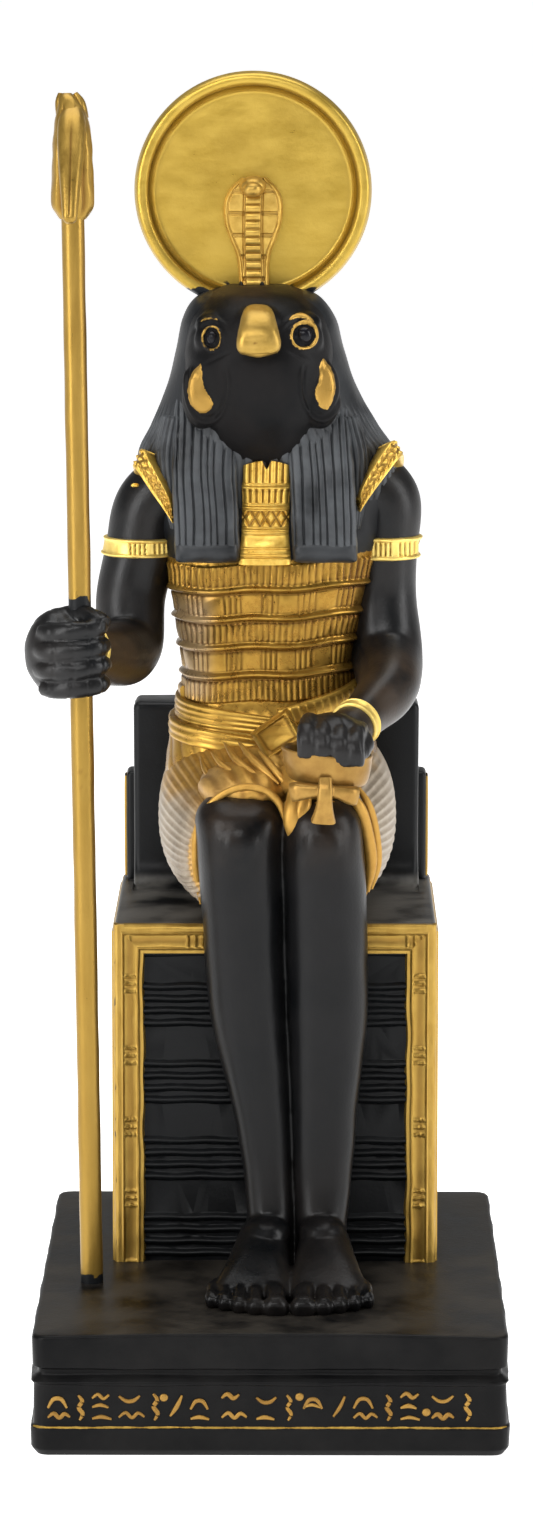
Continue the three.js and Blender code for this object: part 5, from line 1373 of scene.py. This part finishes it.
furrow = hump(np.cos(turn), 0.55, 0.16) + hump(np.cos(turn), -0.55, 0.16)
furrow = furrow * step(-np.sin(turn), 0, 0.3) * step(share, 0.08, 0.2) * step(-share, -0.85, -0.7)
grid = lifted(grid, -0.55 * furrow + 0.1 * ripple(grid, 2.0))
# Painted shade in the furrows of the crown.
staff.append(tube(grid, gilt=1.0, hollow=0.75 * furrow + 0.1))
snout = [[hx, head_out(-0.05), head_up(0.84), 2.2, 2.2], [hx, head_out(0.16), head_up(0.74), 2.9, 2.5],
         [hx, head_out(0.42), head_up(0.56), 2.8, 2.3], [hx, head_out(0.72), head_up(0.32), 2.2, 1.9],
         [hx, head_out(0.92), head_up(0.12), 1.7, 1.5], [hx, head_out(1.0), head_up(0.02), 1.4, 1.2],
         [hx, head_out(1.03), head_up(-0.01), 0.7, 0.6]]
grid = loft(snout, 70, 48, 2.5)
turn = np.linspace(0, 2 * np.pi, 48, endpoint=False)[None]
share = np.linspace(0, 1, 70)[:, None]
# Painted shade in the snout's groove.
groove = hump(np.cos(turn), 0, 0.14) * step(share, 0.15, 0.3) * step(-share, -0.9, -0.7)
staff.append(tube(lifted(grid, -0.35 * groove), gilt=1.0, hollow=0.8 * groove))
for side in (-1, 1):
    ear = [[hx + side * 2.0, head_out(-0.1), head_up(0.8), 1.3, 1.5],
           [hx + side * 2.1 - 0.5, head_out(-0.14), head_up(0.92), 1.0, 1.2],
           [hx + side * 1.5 - 1.0, head_out(-0.16), head_up(1.0), 0.5, 0.6]]
    staff.append(tube(loft(ear, 24, 24, 2.0), gilt=1.0, hollow=0.15))
sceptre = make_piece("sceptre", staff, 0)
gild(sceptre, "sceptre_gold", gold=(0.25, 0.15, 0.0275), bright=(0.345, 0.218, 0.046), brush=(1, 1, 0.12),
     gloss=0.3, metal=0.7, node="was_sceptre")

# The floor, the light and the camera
# A plain pale floor that runs past the picture, soft lamps round the figure, and the photo's viewpoint.

mesh = bpy.data.meshes.new("floor")
mesh.from_pydata([(-60, -60, 0), (60, -60, 0), (60, 60, 0), (-60, 60, 0)], [], [(0, 1, 2, 3)])
floor = bpy.data.objects.new("floor", mesh)
bpy.context.scene.collection.objects.link(floor)
paper = bpy.data.materials.new("pale_paper")
paper.use_nodes = True
shader = paper.node_tree.nodes["Principled BSDF"]
tone = add_node(paper.node_tree, "ShaderNodeTexNoise", {2: 3.0, 3: 2.0}).outputs[0]
paper.node_tree.links.new(mix(paper.node_tree, tone, (0.93, 0.93, 0.93), (0.97, 0.97, 0.97)),
                          shader.inputs["Base Color"])
shader.inputs["Roughness"].default_value = 0.9
shader.inputs["Emission Color"].default_value = (1, 1, 1, 1)
shader.inputs["Emission Strength"].default_value = 0.83
mesh.materials.append(paper)

world = bpy.data.worlds.new("studio")
bpy.context.scene.world = world
world.use_nodes = True
sky = world.node_tree
ground = sky.nodes["Background"]
ground.inputs["Color"].default_value = (1, 1, 1, 1)
aim = add_node(sky, "ShaderNodeTexCoord").outputs["Generated"]
up = add_node(sky, "ShaderNodeSeparateXYZ", {0: aim}).outputs["Z"]
sky.links.new(between(sky, up, 0.06, 0.25, 1.0, 0.17), ground.inputs["Strength"])


def lamp(name, place, target, size, power):
    """A soft square lamp that faces a point."""
    light = bpy.data.lights.new(name, "AREA")
    light.shape = "RECTANGLE"
    light.size, light.size_y = size
    light.energy = power
    holder = bpy.data.objects.new(name, light)
    holder.location = place
    holder.rotation_euler = (Vector(target) - Vector(place)).to_track_quat("-Z", "Y").to_euler()
    bpy.context.scene.collection.objects.link(holder)


lamp("left_softbox", (-0.85, -0.62, 0.5), (0, 0, 0.13), (0.28, 0.9), 9)
lamp("right_softbox", (0.95, -0.25, 0.5), (0, 0, 0.13), (0.35, 0.9), 7)
lamp("top_softbox", (0, 0.15, 1.15), (0, 0.02, 0.1), (0.9, 0.8), 8.5)
lamp("front_softbox", (-0.25, -1.25, 1.0), (0, 0, 0.17), (0.9, 0.45), 10)

FOCAL_PIXELS = 5453.7
PHOTO_ROWS = 1526
camera = bpy.data.cameras.new("camera")
camera.sensor_fit = "VERTICAL"
camera.sensor_height = 36
camera.lens = FOCAL_PIXELS / PHOTO_ROWS * 36
camera.clip_end = 20
viewer = bpy.data.objects.new("camera", camera)
viewer.location = (0.006379, -1.13491, 0.31198)
yaw, pitch = 0.0066, 0.1568
look = Vector((-np.sin(yaw) * np.cos(pitch), np.cos(yaw) * np.cos(pitch), -np.sin(pitch)))
viewer.rotation_euler = look.to_track_quat("-Z", "Y").to_euler()
bpy.context.scene.collection.objects.link(viewer)
bpy.context.scene.camera = viewer
bpy.context.scene.view_settings.view_transform = "Standard"
